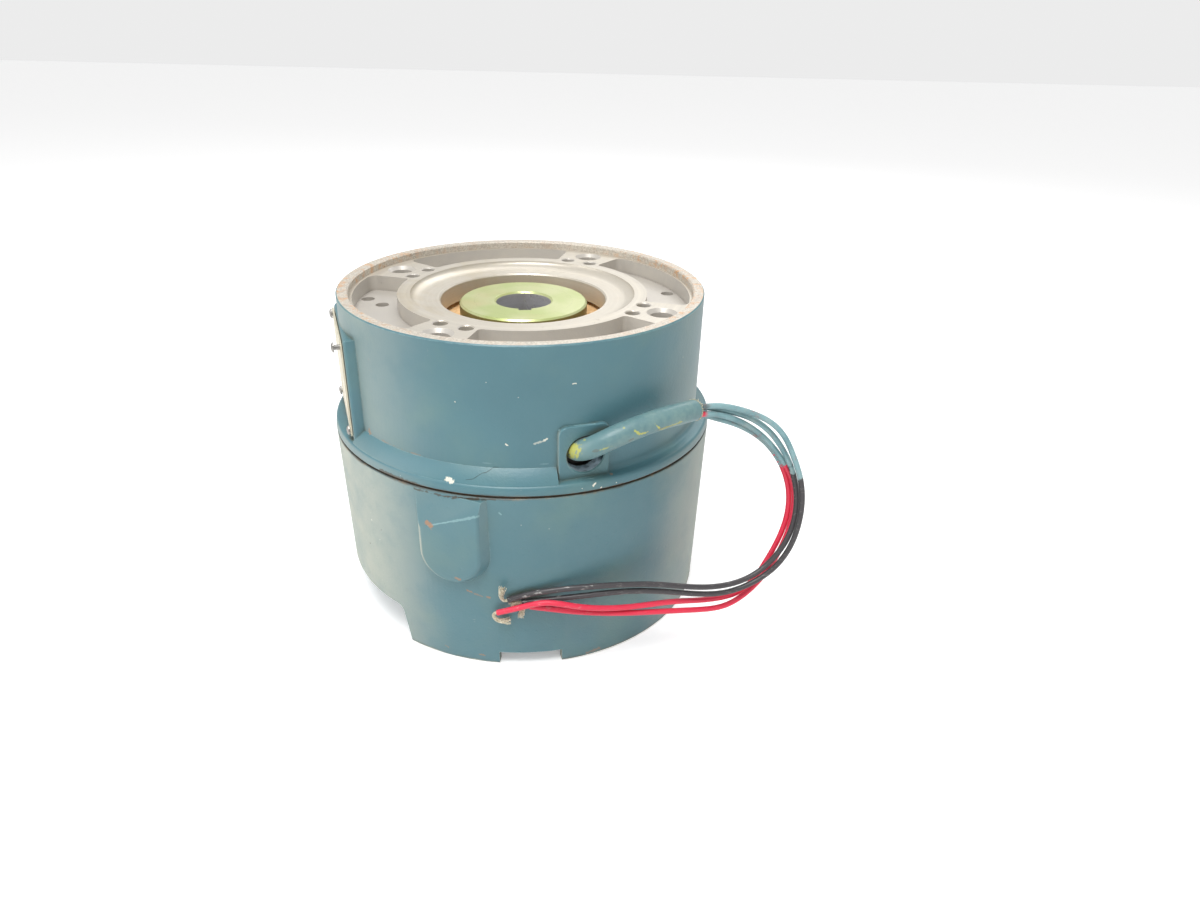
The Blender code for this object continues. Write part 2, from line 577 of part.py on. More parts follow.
def boss_shape():
    """Tongue with a round foot and flared sides, cut by a sloping plane at its top, in its wall frame."""
    back = COVER_BORE_RADIUS + COVER_WALL * 0.25
    foot = COVER_HEIGHT - BOSS_FOOT_BELOW_JOINT
    top = COVER_HEIGHT - BOSS_TOP_BELOW_JOINT
    outline = arc(BOSS_HALF_WIDTH, math.pi, 2.0 * math.pi, BOSS_FOOT_STEPS, (0.0, foot))
    outline += [(BOSS_HALF_WIDTH, top), (-BOSS_HALF_WIDTH, top)]
    boss = prism(outline, back, BOSS_FACE)
    for vert in boss.verts:
        grown = (BOSS_FACE - vert.co.z) * BOSS_FLARE
        away = Vector((vert.co.x, min(0.0, vert.co.y - foot), 0.0))
        vert.co += away.normalized() * grown
    slope = Vector((0.0, COVER_HEIGHT - BOSS_SLOPE_BELOW_JOINT, BOSS_FACE))
    normal = Vector((-BOSS_SLOPE_SIDE * BOSS_SLOPE_BACK, BOSS_SLOPE_BACK, 1.0))
    sliced = bmesh.ops.bisect_plane(
        boss, geom=boss.verts[:] + boss.edges[:] + boss.faces[:], plane_co=slope, plane_no=normal,
        clear_outer=True,
    )
    rim = [item for item in sliced["geom_cut"] if isinstance(item, bmesh.types.BMEdge)]
    bmesh.ops.edgenet_fill(boss, edges=rim)
    bmesh.ops.recalc_face_normals(boss, faces=boss.faces)

    def front_edge(edge):
        clear_of_back = min(vert.co.z for vert in edge.verts) > back + OVERCUT / 3.0
        bend = edge.calc_face_angle(0.0)
        return clear_of_back and bend > 50.0 * DEG and abs(edge.verts[0].co.z - edge.verts[1].co.z) < 2.0 * MM

    round_corners(boss, front_edge, BOSS_EDGE, 2)
    return boss


def build_gasket():
    """Thin ring in the joint between the castings."""
    inner = CASING_RADIUS - COVER_WALL
    outer = CASING_RADIUS - GASKET_INSET
    profile = [(inner, 0.0), (outer, 0.0), (outer, GASKET_THICKNESS), (inner, GASKET_THICKNESS)]
    mesh = mesh_from(turned(profile, OUTER_STEPS), "flange_gasket")
    return add_part("flange_gasket", mesh, "gasket_brown", (0.0, 0.0, GASKET_Z))


def housing_outside():
    """Turned outside of the upper casting, still solid inside."""
    ledge = FLANGE_Z + FLANGE_THICKNESS
    fillet = arc(WALL_FILLET, -math.pi / 2.0, -math.pi, 2,
                 (WALL_RADIUS + WALL_FILLET, ledge + WALL_FILLET))
    cove_width = CAVETTO_RADIUS - CAVETTO_FOOT_RADIUS
    cove = [(CAVETTO_RADIUS, FACE_Z)] + [
        (CAVETTO_RADIUS - cove_width * (1.0 - math.cos(turn)), FACE_Z - CAVETTO_DEPTH * math.sin(turn))
        for turn in (math.pi / 5.0, math.pi / 2.0)
    ]
    return [
        (0.0, FLANGE_Z), (CASING_RADIUS - EDGE_ROUND, FLANGE_Z), (CASING_RADIUS, FLANGE_Z + EDGE_ROUND),
        (CASING_RADIUS - FLANGE_DRAFT / 2.0, ledge - FLANGE_DRAFT / 2.0),
        (CASING_RADIUS - FLANGE_DRAFT, ledge),
        *fillet,
        (WALL_RADIUS, RIM_Z - RIM_CHAMFER), (WALL_RADIUS - RIM_CHAMFER, RIM_Z),
        (REGISTER_RADIUS + REGISTER_LEAD, RIM_Z), (REGISTER_RADIUS, RIM_Z - REGISTER_LEAD),
        (REGISTER_RADIUS, FACE_Z), *cove, (0.0, WEB_FLOOR_Z),
    ]


def housing_inside():
    """Profile of all that is bored out of the upper casting."""
    over = FACE_Z + OVERCUT
    chamfer_foot = WEB_FLOOR_Z - BORE_CHAMFER
    chamfer_top = BORE_RADIUS + over - chamfer_foot
    return [
        (0.0, FLANGE_Z - OVERCUT), (CAVITY_RADIUS, FLANGE_Z - OVERCUT), (CAVITY_RADIUS, FRICTION_Z),
        (RELIEF_RADIUS, FRICTION_Z), (RELIEF_RADIUS, FRICTION_Z + RELIEF_DEPTH),
        (BORE_RADIUS, FRICTION_Z + RELIEF_DEPTH), (BORE_RADIUS, chamfer_foot), (chamfer_top, over),
        (0.0, over),
    ]


def pocket_shape(middle):
    """Pocket between two pads: an arc block with rounded upright corners."""
    half = (math.pi / 2.0 - PAD_SPAN) / 2.0
    outline = arc(POCKET_OUTER_RADIUS, middle - half, middle + half, 8)
    outline += arc(FACE_RING_RADIUS, middle + half, middle - half, 8)
    pocket = prism(outline, POCKET_Z, RIM_Z + OVERCUT)

    def upright(edge, outer):
        first, second = edge.verts[0].co, edge.verts[1].co
        far = math.hypot(first.x, first.y) > (POCKET_OUTER_RADIUS + FACE_RING_RADIUS) / 2.0
        return abs(first.z - second.z) > MM and far == outer and edge.calc_face_angle(0.0) > 45.0 * DEG

    round_corners(pocket, lambda edge: upright(edge, True), POCKET_OUTER_CORNER, 3)
    round_corners(pocket, lambda edge: upright(edge, False), POCKET_INNER_CORNER, 1)
    return pocket


def rib_shape():
    """Raised rib that runs along the flange from the name plate pad to the lead pad."""
    inside = WALL_RADIUS - WALL_THICKNESS / 3.0
    foot = CASING_RADIUS - RIB_SETBACK
    section = [
        (inside, FLANGE_Z + RIB_FOOT_HEIGHT), (foot, FLANGE_Z + RIB_FOOT_HEIGHT),
        (foot - RIB_EDGE_SETBACK, FLANGE_Z + RIB_EDGE_HEIGHT), (WALL_RADIUS, FLANGE_Z + RIB_WALL_HEIGHT),
        (inside, FLANGE_Z + RIB_WALL_HEIGHT),
    ]
    shape = bmesh.new()
    corners = [shape.verts.new((radius, 0.0, height)) for radius, height in section]
    shape.faces.new(corners)
    turn = Matrix.Rotation(RIB_SPAN[0], 3, "Z")
    bmesh.ops.rotate(shape, verts=shape.verts, cent=(0.0, 0.0, 0.0), matrix=turn)
    steps = max(4, round(OUTER_STEPS * (RIB_SPAN[1] - RIB_SPAN[0]) / (2.0 * math.pi)))
    bmesh.ops.spin(
        shape, geom=shape.faces[:], cent=(0.0, 0.0, 0.0), axis=(0.0, 0.0, 1.0),
        angle=RIB_SPAN[1] - RIB_SPAN[0], steps=steps,
    )
    bmesh.ops.recalc_face_normals(shape, faces=shape.faces)
    return shape


def pad_shape(half_width, low, high, back, face, corner, edge_width):
    """Flat pad on the wall in its wall frame, with rounded upper corners and softened front edges."""
    outline = [(-half_width, low), (half_width, low), (half_width, high), (-half_width, high)]
    pad = prism(outline, back, face)
    if corner:
        round_corners(
            pad,
            lambda edge: min(vert.co.y for vert in edge.verts) > high - MM
            and abs(edge.verts[0].co.z - edge.verts[1].co.z) > MM,
            corner, 3,
        )
    round_corners(
        pad,
        lambda edge: min(vert.co.z for vert in edge.verts) > face - 0.01 * MM
        and max(vert.co.y for vert in edge.verts) > low + MM,
        edge_width, 2,
    )
    return pad


def build_housing():
    """Upper casting: flange, wall, rim, web, pads, pockets and every hole."""
    housing = add_part("housing", mesh_from(turned(housing_outside(), OUTER_STEPS), "housing"), "teal_paint")
    combine(housing, rib_shape(), "flange_rib", "UNION")
    wall_middle = WALL_RADIUS - WALL_THICKNESS
    plate_pad = pad_shape(
        PLATE_PAD_HALF_WIDTH, FLANGE_Z + FLANGE_THICKNESS / 2.0, RIM_Z - PLATE_PAD_BELOW_RIM,
        wall_middle, PLATE_PAD_FACE, 0.0, PLATE_PAD_EDGE,
    )
    combine(housing, plate_pad, "nameplate_pad", "UNION", wall_frame(PLATE_PAD_ANGLE))
    hole_z = LEAD_Z
    lead_pad = pad_shape(
        LEAD_PAD_HALF_WIDTH, FLANGE_Z + FLANGE_THICKNESS / 2.0, hole_z + LEAD_PAD_ABOVE_HOLE,
        wall_middle, LEAD_PAD_FACE, LEAD_PAD_CORNER, LEAD_PAD_EDGE,
    )
    combine(housing, lead_pad, "lead_pad", "UNION", wall_frame(LEAD_PAD_ANGLE))
    combine(housing, turned(housing_inside(), INNER_STEPS), "housing_cavity")
    pockets = bmesh.new()
    for angle in PAD_ANGLES:
        joined(pocket_shape(angle + math.pi / 4.0), pockets, None)
    combine(housing, pockets, "face_pockets")
    bolts = bmesh.new()
    taps = bmesh.new()
    for angle in PAD_ANGLES:
        sunk_hole(bolts, BOLT_HOLE_RADIUS, BOLT_HOLE_SINK, FACE_Z - BOLT_HOLE_DEPTH, FACE_Z,
                  on_circle(BOLT_CIRCLE, angle, 0.0))
        for side in (-TAP_ANGLE, TAP_ANGLE):
            sunk_hole(taps, TAP_RADIUS, TAP_SINK, FACE_Z - TAP_DEPTH, FACE_Z,
                      on_circle(TAP_CIRCLE, angle + side, 0.0))
    combine(housing, bolts, "bolt_holes")
    combine(housing, taps, "tap_holes")
    cored = bmesh.new()
    for inset, angle in POCKET_HOLE_PLACES:
        hole(cored, POCKET_HOLE_RADIUS, POCKET_Z - POCKET_HOLE_DEPTH, POCKET_Z + OVERCUT,
             on_circle(POCKET_OUTER_RADIUS - inset, angle, 0.0))
    combine(housing, cored, "pocket_holes")
    seats = bmesh.new()
    for angle in STUD_ANGLES:
        hole(seats, STUD_HOLE_RADIUS, FRICTION_Z - OVERCUT, FRICTION_Z + STUD_SEAT_DEPTH + GAP,
             on_circle(STUD_CIRCLE, angle, 0.0), SMALL_HOLE_STEPS)
    combine(housing, seats, "stud_seats")
    mouth = LEAD_PAD_FACE - LEAD_HOLE_CHAMFER
    opened = LEAD_HOLE_RADIUS + LEAD_HOLE_CHAMFER
    lead_hole = [
        (0.0, CAVITY_RADIUS - OVERCUT), (LEAD_HOLE_RADIUS, CAVITY_RADIUS - OVERCUT),
        (LEAD_HOLE_RADIUS, mouth),
        (opened, LEAD_PAD_FACE), (opened, LEAD_PAD_FACE + OVERCUT), (0.0, LEAD_PAD_FACE + OVERCUT),
    ]
    frame = wall_frame(LEAD_PAD_ANGLE) @ Matrix.Translation((LEAD_HOLE_SIDE, hole_z, 0.0))
    combine(housing, turned(lead_hole, LEAD_HOLE_STEPS), "lead_hole", "DIFFERENCE", frame)
    drilled = bmesh.new()
    for place in drive_screw_places():
        hole(drilled, DRIVE_HOLE_RADIUS, PLATE_PAD_FACE - DRIVE_SCREW_LENGTH, PLATE_PAD_FACE + OVERCUT, place,
             SMALL_HOLE_STEPS)
    combine(housing, drilled, "drive_screw_holes", "DIFFERENCE", wall_frame(PLATE_PAD_ANGLE))
    return housing


def drive_screw_places():
    """Where the four drive screws stand on the name plate pad, along the wall and up."""
    across = NAMEPLATE_WIDTH / 2.0 - DRIVE_SCREW_INSET
    high = RIM_Z - NAMEPLATE_BELOW_RIM - DRIVE_SCREW_INSET
    low = FLANGE_Z + NAMEPLATE_ABOVE_FLANGE + DRIVE_SCREW_INSET
    return [(across, high), (-across, high), (-across, low), (across, low)]


def build_nameplate():
    """Thin bare plate on its pad, with the drive screws that hold it."""
    half = NAMEPLATE_WIDTH / 2.0
    high = RIM_Z - NAMEPLATE_BELOW_RIM
    low = FLANGE_Z + NAMEPLATE_ABOVE_FLANGE
    seat = PLATE_PAD_FACE + GAP
    plate = prism([(-half, low), (half, low), (half, high), (-half, high)], seat, seat + NAMEPLATE_THICKNESS)
    round_corners(plate, lambda edge: abs(edge.verts[0].co.z - edge.verts[1].co.z) > MM / 2.0,
                  NAMEPLATE_CORNER, 2)
    holes = bmesh.new()
    for place in drive_screw_places():
        hole(holes, DRIVE_HOLE_RADIUS, seat - MM, seat + NAMEPLATE_THICKNESS + MM, place, SMALL_HOLE_STEPS)
    frame = wall_frame(PLATE_PAD_ANGLE)
    nameplate = add_part("nameplate", mesh_from(plate, "nameplate"), "plate_cream")
    nameplate.matrix_world = frame
    combine(nameplate, holes, "nameplate_holes", "DIFFERENCE", frame)
    dome = DRIVE_SCREW_HEAD_RADIUS
    profile = [
        (0.0, -DRIVE_SCREW_LENGTH + 2.0 * GAP + NAMEPLATE_THICKNESS),
        (DRIVE_SCREW_RADIUS, -DRIVE_SCREW_LENGTH + 2.0 * GAP + NAMEPLATE_THICKNESS),
        (DRIVE_SCREW_RADIUS, 0.0), (dome, 0.0), (dome * 0.95, DRIVE_SCREW_HEAD_HEIGHT * 0.45),
        (dome * 0.6, DRIVE_SCREW_HEAD_HEIGHT * 0.88), (0.0, DRIVE_SCREW_HEAD_HEIGHT),
    ]
    screw = mesh_from(turned(profile, HOLE_STEPS), "drive_screw")
    for number, (across, height) in enumerate(drive_screw_places(), 1):
        stand = seat + NAMEPLATE_THICKNESS + GAP + (DRIVE_SCREW_LOOSE if number == 1 else 0.0)
        part = add_part("drive_screw_%d" % number, screw, "steel")
        part.matrix_world = frame @ Matrix.Translation((across, height, stand))


def spline_outline(tip, root, clearance):
    """Outline of straight sided spline teeth, grown by a clearance."""
    pitch = 2.0 * math.pi / SPLINE_TEETH
    outline = []
    for tooth in range(SPLINE_TEETH):
        middle = tooth * pitch
        tip_half = pitch * SPLINE_TIP_SHARE + clearance / tip
        root_half = pitch * SPLINE_ROOT_SHARE + clearance / root
        corners = [
            (root, middle - root_half), (tip, middle - tip_half), (tip, middle + tip_half),
            (root, middle + root_half),
        ]
        for radius, angle in corners:
            outline.append(((radius + clearance) * math.cos(angle), (radius + clearance) * math.sin(angle)))
    return outline


def build_hub():
    """Splined hub with a plain collar on top and a keyed bore."""
    collar_bottom = HUB_SEAT_Z - HUB_Z
    top = HUB_TOP_Z - HUB_Z
    collar = [
        (0.0, collar_bottom), (HUB_COLLAR_RADIUS, collar_bottom), (HUB_COLLAR_RADIUS, top - HUB_CHAMFER),
        (HUB_COLLAR_RADIUS - HUB_CHAMFER, top), (0.0, top),
    ]
    hub = add_part("hub", mesh_from(turned(collar, INNER_STEPS), "hub"), "zinc_yellow", (0.0, 0.0, HUB_Z))
    teeth = prism(spline_outline(SPLINE_TIP_RADIUS, SPLINE_ROOT_RADIUS, 0.0), 0.0, collar_bottom + GAP)
    combine(hub, teeth, "hub_teeth", "UNION", Matrix.Translation((0.0, 0.0, HUB_Z)))
    half_key = math.asin(KEYWAY_WIDTH / 2.0 / HUB_BORE_RADIUS)
    bore = arc(HUB_BORE_RADIUS, half_key, 2.0 * math.pi - half_key, BORE_STEPS)
    key_floor = HUB_BORE_RADIUS + KEYWAY_DEPTH
    bore += [(key_floor, -KEYWAY_WIDTH / 2.0), (key_floor, KEYWAY_WIDTH / 2.0)]
    turn = Matrix.Translation((0.0, 0.0, HUB_Z)) @ Matrix.Rotation(KEYWAY_ANGLE, 4, "Z")
    combine(hub, prism(bore, -OVERCUT, HUB_LENGTH + OVERCUT), "hub_bore", "DIFFERENCE", turn)
    mouth = [
        (0.0, top - HUB_CHAMFER), (HUB_BORE_RADIUS, top - HUB_CHAMFER),
        (HUB_BORE_RADIUS + HUB_CHAMFER + OVERCUT, top + OVERCUT), (0.0, top + OVERCUT),
    ]
    combine(hub, turned(mouth, BORE_STEPS), "hub_bore_mouth", "DIFFERENCE",
            Matrix.Translation((0.0, 0.0, HUB_Z)))
    return hub


def build_friction_disc(name, height):
    """Friction disc that slides on the hub's teeth."""
    blank = prism(circle(FRICTION_DISC_RADIUS, INNER_STEPS), 0.0, FRICTION_DISC_THICKNESS)
    disc = add_part(name, mesh_from(blank, name), "friction_lining", (0.0, 0.0, height))
    teeth = spline_outline(SPLINE_TIP_RADIUS, SPLINE_ROOT_RADIUS, SPLINE_CLEARANCE)
    combine(disc, prism(teeth, -MM, FRICTION_DISC_THICKNESS + MM), name + "_spline", "DIFFERENCE",
            Matrix.Translation((0.0, 0.0, height)))
    return disc


def eared_outline(plain_radius):
    """Round outline with a soft ear at each stud."""
    outline = []
    for step in range(EARED_STEPS):
        angle = STUD_ANGLES[0] + 2.0 * math.pi * step / EARED_STEPS
        nearest = min(abs(math.remainder(angle - stud, 2.0 * math.pi)) for stud in STUD_ANGLES)
        share = min(1.0, nearest / PLATE_EAR_HALF_SPAN)
        rise = 0.5 * (1.0 + math.cos(math.pi * share))
        radius = plain_radius + (PLATE_EAR_RADIUS - plain_radius) * rise
        outline.append((radius * math.cos(angle), radius * math.sin(angle)))
    return outline


def build_guided_plate(name, radius, height, thickness, finish):
    """Steel plate with a round bore, held from turning by the studs in its ears."""
    blank = mesh_from(prism(eared_outline(radius), 0.0, thickness), name)
    plate = add_part(name, blank, finish, (0.0, 0.0, height))
    holes = prism(circle(PLATE_BORE_RADIUS, BORE_STEPS), -MM, thickness + MM)
    for angle in STUD_ANGLES:
        hole(holes, GUIDE_HOLE_RADIUS, -MM, thickness + MM, on_circle(STUD_CIRCLE, angle, 0.0))
    combine(plate, holes, name + "_holes", "DIFFERENCE", Matrix.Translation((0.0, 0.0, height)))
    return plate


def build_magnet():
    """Iron pot with its coil groove, spring pockets, stud holes and lead port, and the coil in it."""
    profile = [
        (MAGNET_BORE_RADIUS, 0.0), (MAGNET_RADIUS, 0.0), (MAGNET_RADIUS, MAGNET_HEIGHT),
        (COIL_GROOVE_OUTER_RADIUS, MAGNET_HEIGHT), (COIL_GROOVE_OUTER_RADIUS, COIL_GROOVE_FLOOR),
        (COIL_GROOVE_INNER_RADIUS, COIL_GROOVE_FLOOR), (COIL_GROOVE_INNER_RADIUS, MAGNET_HEIGHT),
        (MAGNET_BORE_RADIUS, MAGNET_HEIGHT),
    ]
    base = (0.0, 0.0, MAGNET_Z)
    pot = mesh_from(turned(profile, INNER_STEPS), "magnet_body")
    magnet = add_part("magnet_body", pot, "magnet_iron", base)
    holes = bmesh.new()
    for angle in SPRING_ANGLES:
        hole(holes, SPRING_POCKET_RADIUS, MAGNET_HEIGHT - SPRING_POCKET_DEPTH, MAGNET_HEIGHT + OVERCUT,
             on_circle(SPRING_CIRCLE, angle, 0.0))
    for angle in STUD_ANGLES:
        hole(holes, STUD_HOLE_RADIUS, -OVERCUT, MAGNET_HEIGHT + OVERCUT, on_circle(STUD_CIRCLE, angle, 0.0),
             SMALL_HOLE_STEPS)
    for angle in POST_ANGLES:
        hole(holes, SCREW_HOLE_RADIUS, -OVERCUT, COVER_SCREW_REACH + GAP,
             on_circle(POST_CIRCLE, angle, 0.0))
    combine(magnet, holes, "magnet_holes", "DIFFERENCE", Matrix.Translation(base))
    port = prism(circle(PORT_RADIUS, PORT_STEPS, (PORT_SIDE, LEAD_Z)), COIL_GROOVE_OUTER_RADIUS - OVERCUT,
                 MAGNET_RADIUS + OVERCUT)
    combine(magnet, port, "lead_port", "DIFFERENCE", wall_frame(LEAD_PAD_ANGLE))
    inner = COIL_GROOVE_INNER_RADIUS + GAP
    outer = COIL_GROOVE_OUTER_RADIUS - GAP
    height = MAGNET_HEIGHT - COIL_GROOVE_FLOOR - GAP - COIL_BELOW_MOUTH
    winding = [(inner, 0.0), (outer, 0.0), (outer, height), (inner, height)]
    wound = mesh_from(turned(winding, INNER_STEPS), "coil")
    add_part("coil", wound, "coil_varnish", (0.0, 0.0, MAGNET_Z + COIL_GROOVE_FLOOR + GAP))


def line_object(name, points, radius, resolution, finish):
    """A round wire or cord along a line of points, with closed ends."""
    curve = bpy.data.curves.new(name, "CURVE")
    curve.dimensions = "3D"
    curve.bevel_depth = radius
    curve.bevel_resolution = resolution
    curve.use_fill_caps = True
    spline = curve.splines.new("POLY")
    spline.points.add(len(points) - 1)
    for slot, point in zip(spline.points, points):
        slot.co = (*point, 1.0)
    spline.use_smooth = True
    return add_part(name, curve, finish)


def build_springs():
    """Compression springs between the magnet body's pockets and the pressure plate."""
    low = SPRING_WIRE_RADIUS + GAP
    high = RELEASE_TRAVEL + GAP + SPRING_POCKET_DEPTH - SPRING_WIRE_RADIUS - GAP
    coil_radius = SPRING_POCKET_RADIUS - SPRING_WIRE_RADIUS - 2.0 * GAP
    steps = SPRING_TURNS * SPRING_TURN_STEPS
    for number, angle in enumerate(SPRING_ANGLES, 1):
        points = []
        for step in range(steps + 1):
            turn = 2.0 * math.pi * step / SPRING_TURN_STEPS
            height = low + (high - low) * step / steps
            points.append((coil_radius * math.cos(turn), coil_radius * math.sin(turn), height))
        spring = line_object("spring_%d" % number, points, SPRING_WIRE_RADIUS, SPRING_RESOLUTION, "steel")
        spring.location = on_circle(SPRING_CIRCLE, angle, MAGNET_TOP_Z - SPRING_POCKET_DEPTH)


def build_studs():
    """Shouldered studs from the housing web down through the magnet body, with their nuts."""
    foot = MAGNET_Z - GAP - NUT_HEIGHT - STUD_BELOW_NUT
    shoulder_low = MAGNET_TOP_Z + GAP - foot
    shoulder_high = FRICTION_Z - GAP - foot
    top = FRICTION_Z + STUD_SEAT_DEPTH - foot
    profile = [
        (0.0, 0.0), (STUD_RADIUS, 0.0), (STUD_RADIUS, shoulder_low), (STUD_SHOULDER_RADIUS, shoulder_low),
        (STUD_SHOULDER_RADIUS, shoulder_high), (STUD_RADIUS, shoulder_high), (STUD_RADIUS, top), (0.0, top),
    ]
    stud = mesh_from(turned(profile, HOLE_STEPS), "guide_stud")
    for number, angle in enumerate(STUD_ANGLES, 1):
        add_part("guide_stud_%d" % number, stud, "steel", on_circle(STUD_CIRCLE, angle, foot))
        corner_radius = NUT_FLATS_RADIUS / math.cos(math.pi / 6.0)
        name = "stud_nut_%d" % number
        height = MAGNET_Z - GAP - NUT_HEIGHT
        place = on_circle(STUD_CIRCLE, angle, height)
        blank = mesh_from(prism(circle(corner_radius, 6), 0.0, NUT_HEIGHT), name)
        nut = add_part(name, blank, "steel", place)
        thread = prism(circle(STUD_HOLE_RADIUS, SMALL_HOLE_STEPS), -MM, NUT_HEIGHT + MM)
        combine(nut, thread, name + "_thread", "DIFFERENCE", Matrix.Translation(place))


def build_cover_screws():
    """Cap screws up through the end wall and posts into the magnet body."""
    head_bottom = END_WALL_HEIGHT - GAP - COVER_SCREW_HEAD_HEIGHT
    length = MAGNET_Z + COVER_SCREW_REACH - head_bottom
    profile = [
        (0.0, 0.0), (COVER_SCREW_HEAD_RADIUS, 0.0), (COVER_SCREW_HEAD_RADIUS, COVER_SCREW_HEAD_HEIGHT),
        (COVER_SCREW_RADIUS, COVER_SCREW_HEAD_HEIGHT), (COVER_SCREW_RADIUS, length), (0.0, length),
    ]
    screw = mesh_from(turned(profile, HOLE_STEPS), "cover_screw")
    for number, angle in enumerate(POST_ANGLES, 1):
        place = on_circle(POST_CIRCLE, angle, head_bottom)
        name = "cover_screw_%d" % number
        part = add_part(name, screw, "steel", place)
        socket = prism(circle(HEX_KEY_RADIUS, 6), -MM, HEX_KEY_DEPTH)
        combine(part, socket, name + "_socket", "DIFFERENCE", Matrix.Translation(place))


def even_places(length, spacing):
    """Distances along a line, about evenly spaced, both ends included."""
    return np.linspace(0.0, length, max(3, round(length / spacing) + 1))


def smooth_line(points, spacing, fine_length=0.0, fine_spacing=0.0):
    """Read a natural cubic curve through points at about even spacing, closer over a first stretch."""
    points = np.array(points, float)
    steps = np.linalg.norm(np.diff(points, axis=0), axis=1)
    along = np.concatenate([[0.0], np.cumsum(steps)])
    count = len(points)
    system = np.eye(count)
    right = np.zeros((count, 3))
    for index in range(1, count - 1):
        before, after = steps[index - 1], steps[index]
        system[index, index - 1:index + 2] = before, 2.0 * (before + after), after
        slopes = (points[index + 1] - points[index]) / after - (points[index] - points[index - 1]) / before
        right[index] = 6.0 * slopes
    bends = np.linalg.solve(system, right)
    line = []
    places = fine_length + even_places(along[-1] - fine_length, spacing)
    if fine_length:
        places = np.concatenate([even_places(fine_length, fine_spacing)[:-1], places])
    for place in places:
        index = min(int(np.searchsorted(along, place, "right")) - 1, count - 2)
        width = steps[index]
        near = (along[index + 1] - place) / width
        far = 1.0 - near
        point = near * points[index] + far * points[index + 1]
        point = point + ((near**3 - near) * bends[index] + (far**3 - far) * bends[index + 1]) * width**2 / 6.0
        line.append(point)
    return np.array(line)


def bundle_frames(line):
    """Direction, sideways and upward unit vectors at each point of a line."""
    along = np.gradient(line, axis=0)
    along /= np.linalg.norm(along, axis=1)[:, None]
    side = np.cross(along, (0.0, 0.0, 1.0))
    side /= np.linalg.norm(side, axis=1)[:, None]
    return along, side, np.cross(side, along)


def routed(point):
    """A route point in metres, moved out and up with the size of the casing."""
    x, y, z = point
    share = min(1.0, max(0.0, (ROUTE_TURN - x) / ROUTE_TURN))
    angle = LEAD_PAD_ANGLE + (TAIL_ANGLE - LEAD_PAD_ANGLE) * share
    grown = CASING_RADIUS - ROUTE_BASIS[0] * MM
    risen = LEAD_Z - ROUTE_BASIS[1] * MM
    return np.array((x * MM + grown * math.cos(angle), y * MM + grown * math.sin(angle), z * MM + risen))


def sleeve_points():
    """The sleeve's line in the part's frame, moved out and up with the size of the casing."""
    frame = np.array(wall_frame(LEAD_PAD_ANGLE))[:3, :3]
    grown = CASING_RADIUS - ROUTE_BASIS[0] * MM
    risen = LEAD_Z - ROUTE_BASIS[1] * MM
    return np.array([
        frame @ np.array((side * MM, up * MM + risen, out * MM + grown)) for out, side, up in SLEEVE_LINE
    ])


def build_sleeve():
    """Hollow sleeve swept along its line."""
    line = smooth_line(sleeve_points(), SLEEVE_STATION)
    _, side, up = bundle_frames(line)
    shape = bmesh.new()
    rings = []
    for radius in (SLEEVE_RADIUS, SLEEVE_BORE_RADIUS):
        wall = []
        for point, right, rise in zip(line, side, up):
            wall.append([
                shape.verts.new(Vector(point + right * across + rise * height))
                for across, height in circle(radius, SLEEVE_SIDES)
            ])
        rings.append(wall)
    for wall in rings:
        for first, second in zip(wall, wall[1:]):
            for index in range(SLEEVE_SIDES):
                after = (index + 1) % SLEEVE_SIDES
                shape.faces.new((first[index], first[after], second[after], second[index]))
    for end in (0, -1):
        outer, inner = rings[0][end], rings[1][end]
        for index in range(SLEEVE_SIDES):
            after = (index + 1) % SLEEVE_SIDES
            shape.faces.new((outer[index], outer[after], inner[after], inner[index]))
    return add_part("cable_sleeve", mesh_from(shape, "cable_sleeve"), "teal_paint")


def build_leads():
    """Four leads from the coil, through the sleeve and round to their bared ends."""
    station = sleeve_points()
    fine = smooth_line(station, SLEEVE_STATION / 4.0)
    along, side, up = bundle_frames(fine)
    held = [int(np.argmin(np.linalg.norm(fine - point, axis=1))) for point in station[:-1]]
    held.append(len(fine) - SLEEVE_MOUTH_STEPS)
    for name, ((across, rise), route) in LEADS.items():
        inside = [fine[index] + LEAD_PITCH * (across * side[index] + rise * up[index]) for index in held]
        sleeve_end = CASING_RADIUS + (SLEEVE_LINE[0][0] - ROUTE_BASIS[0]) * MM
        start = inside[0] - along[0] * (sleeve_end - LEAD_START)
        points = [start] + inside + [routed(point) for point in route]
        finish = "lead_black" if "black" in name else "lead_red"
        inside_length = sum(math.dist(first, second) for first, second in zip(inside, inside[1:]))
        line = smooth_line(points, LEAD_STATION, inside_length + 2.0 * SLEEVE_RADIUS, HELD_LEAD_STATION)
        line_object(name, line, LEAD_RADIUS, LEAD_RESOLUTION, finish)
    for name, route in STRANDS.items():
        points = [routed(point) for point in route]
        line_object(name, points, STRAND_RADIUS, STRAND_RESOLUTION, "copper_strand")


def build_brake():
    """Build the whole brake, from the cover up."""
    clear_scene()
    build_cover()
    build_gasket()
    build_housing()
    build_nameplate()
    build_magnet()
    build_springs()
    build_studs()
    build_cover_screws()
    build_guided_plate("pressure_plate", PRESSURE_PLATE_RADIUS, PLATE_Z, PRESSURE_PLATE_THICKNESS, "steel")
    build_friction_disc("friction_disc_lower", LOWER_DISC_Z)
    build_guided_plate("stationary_disc", STATIONARY_DISC_RADIUS, STATIONARY_Z, STATIONARY_DISC_THICKNESS,
                       "steel")
    build_friction_disc("friction_disc_upper", UPPER_DISC_Z)
    build_hub()
    build_sleeve()
    build_leads()


build_brake()
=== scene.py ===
"""Looks of a spring applied brake: painted castings, machined mounting face, plated hub and loose leads."""
from __future__ import annotations

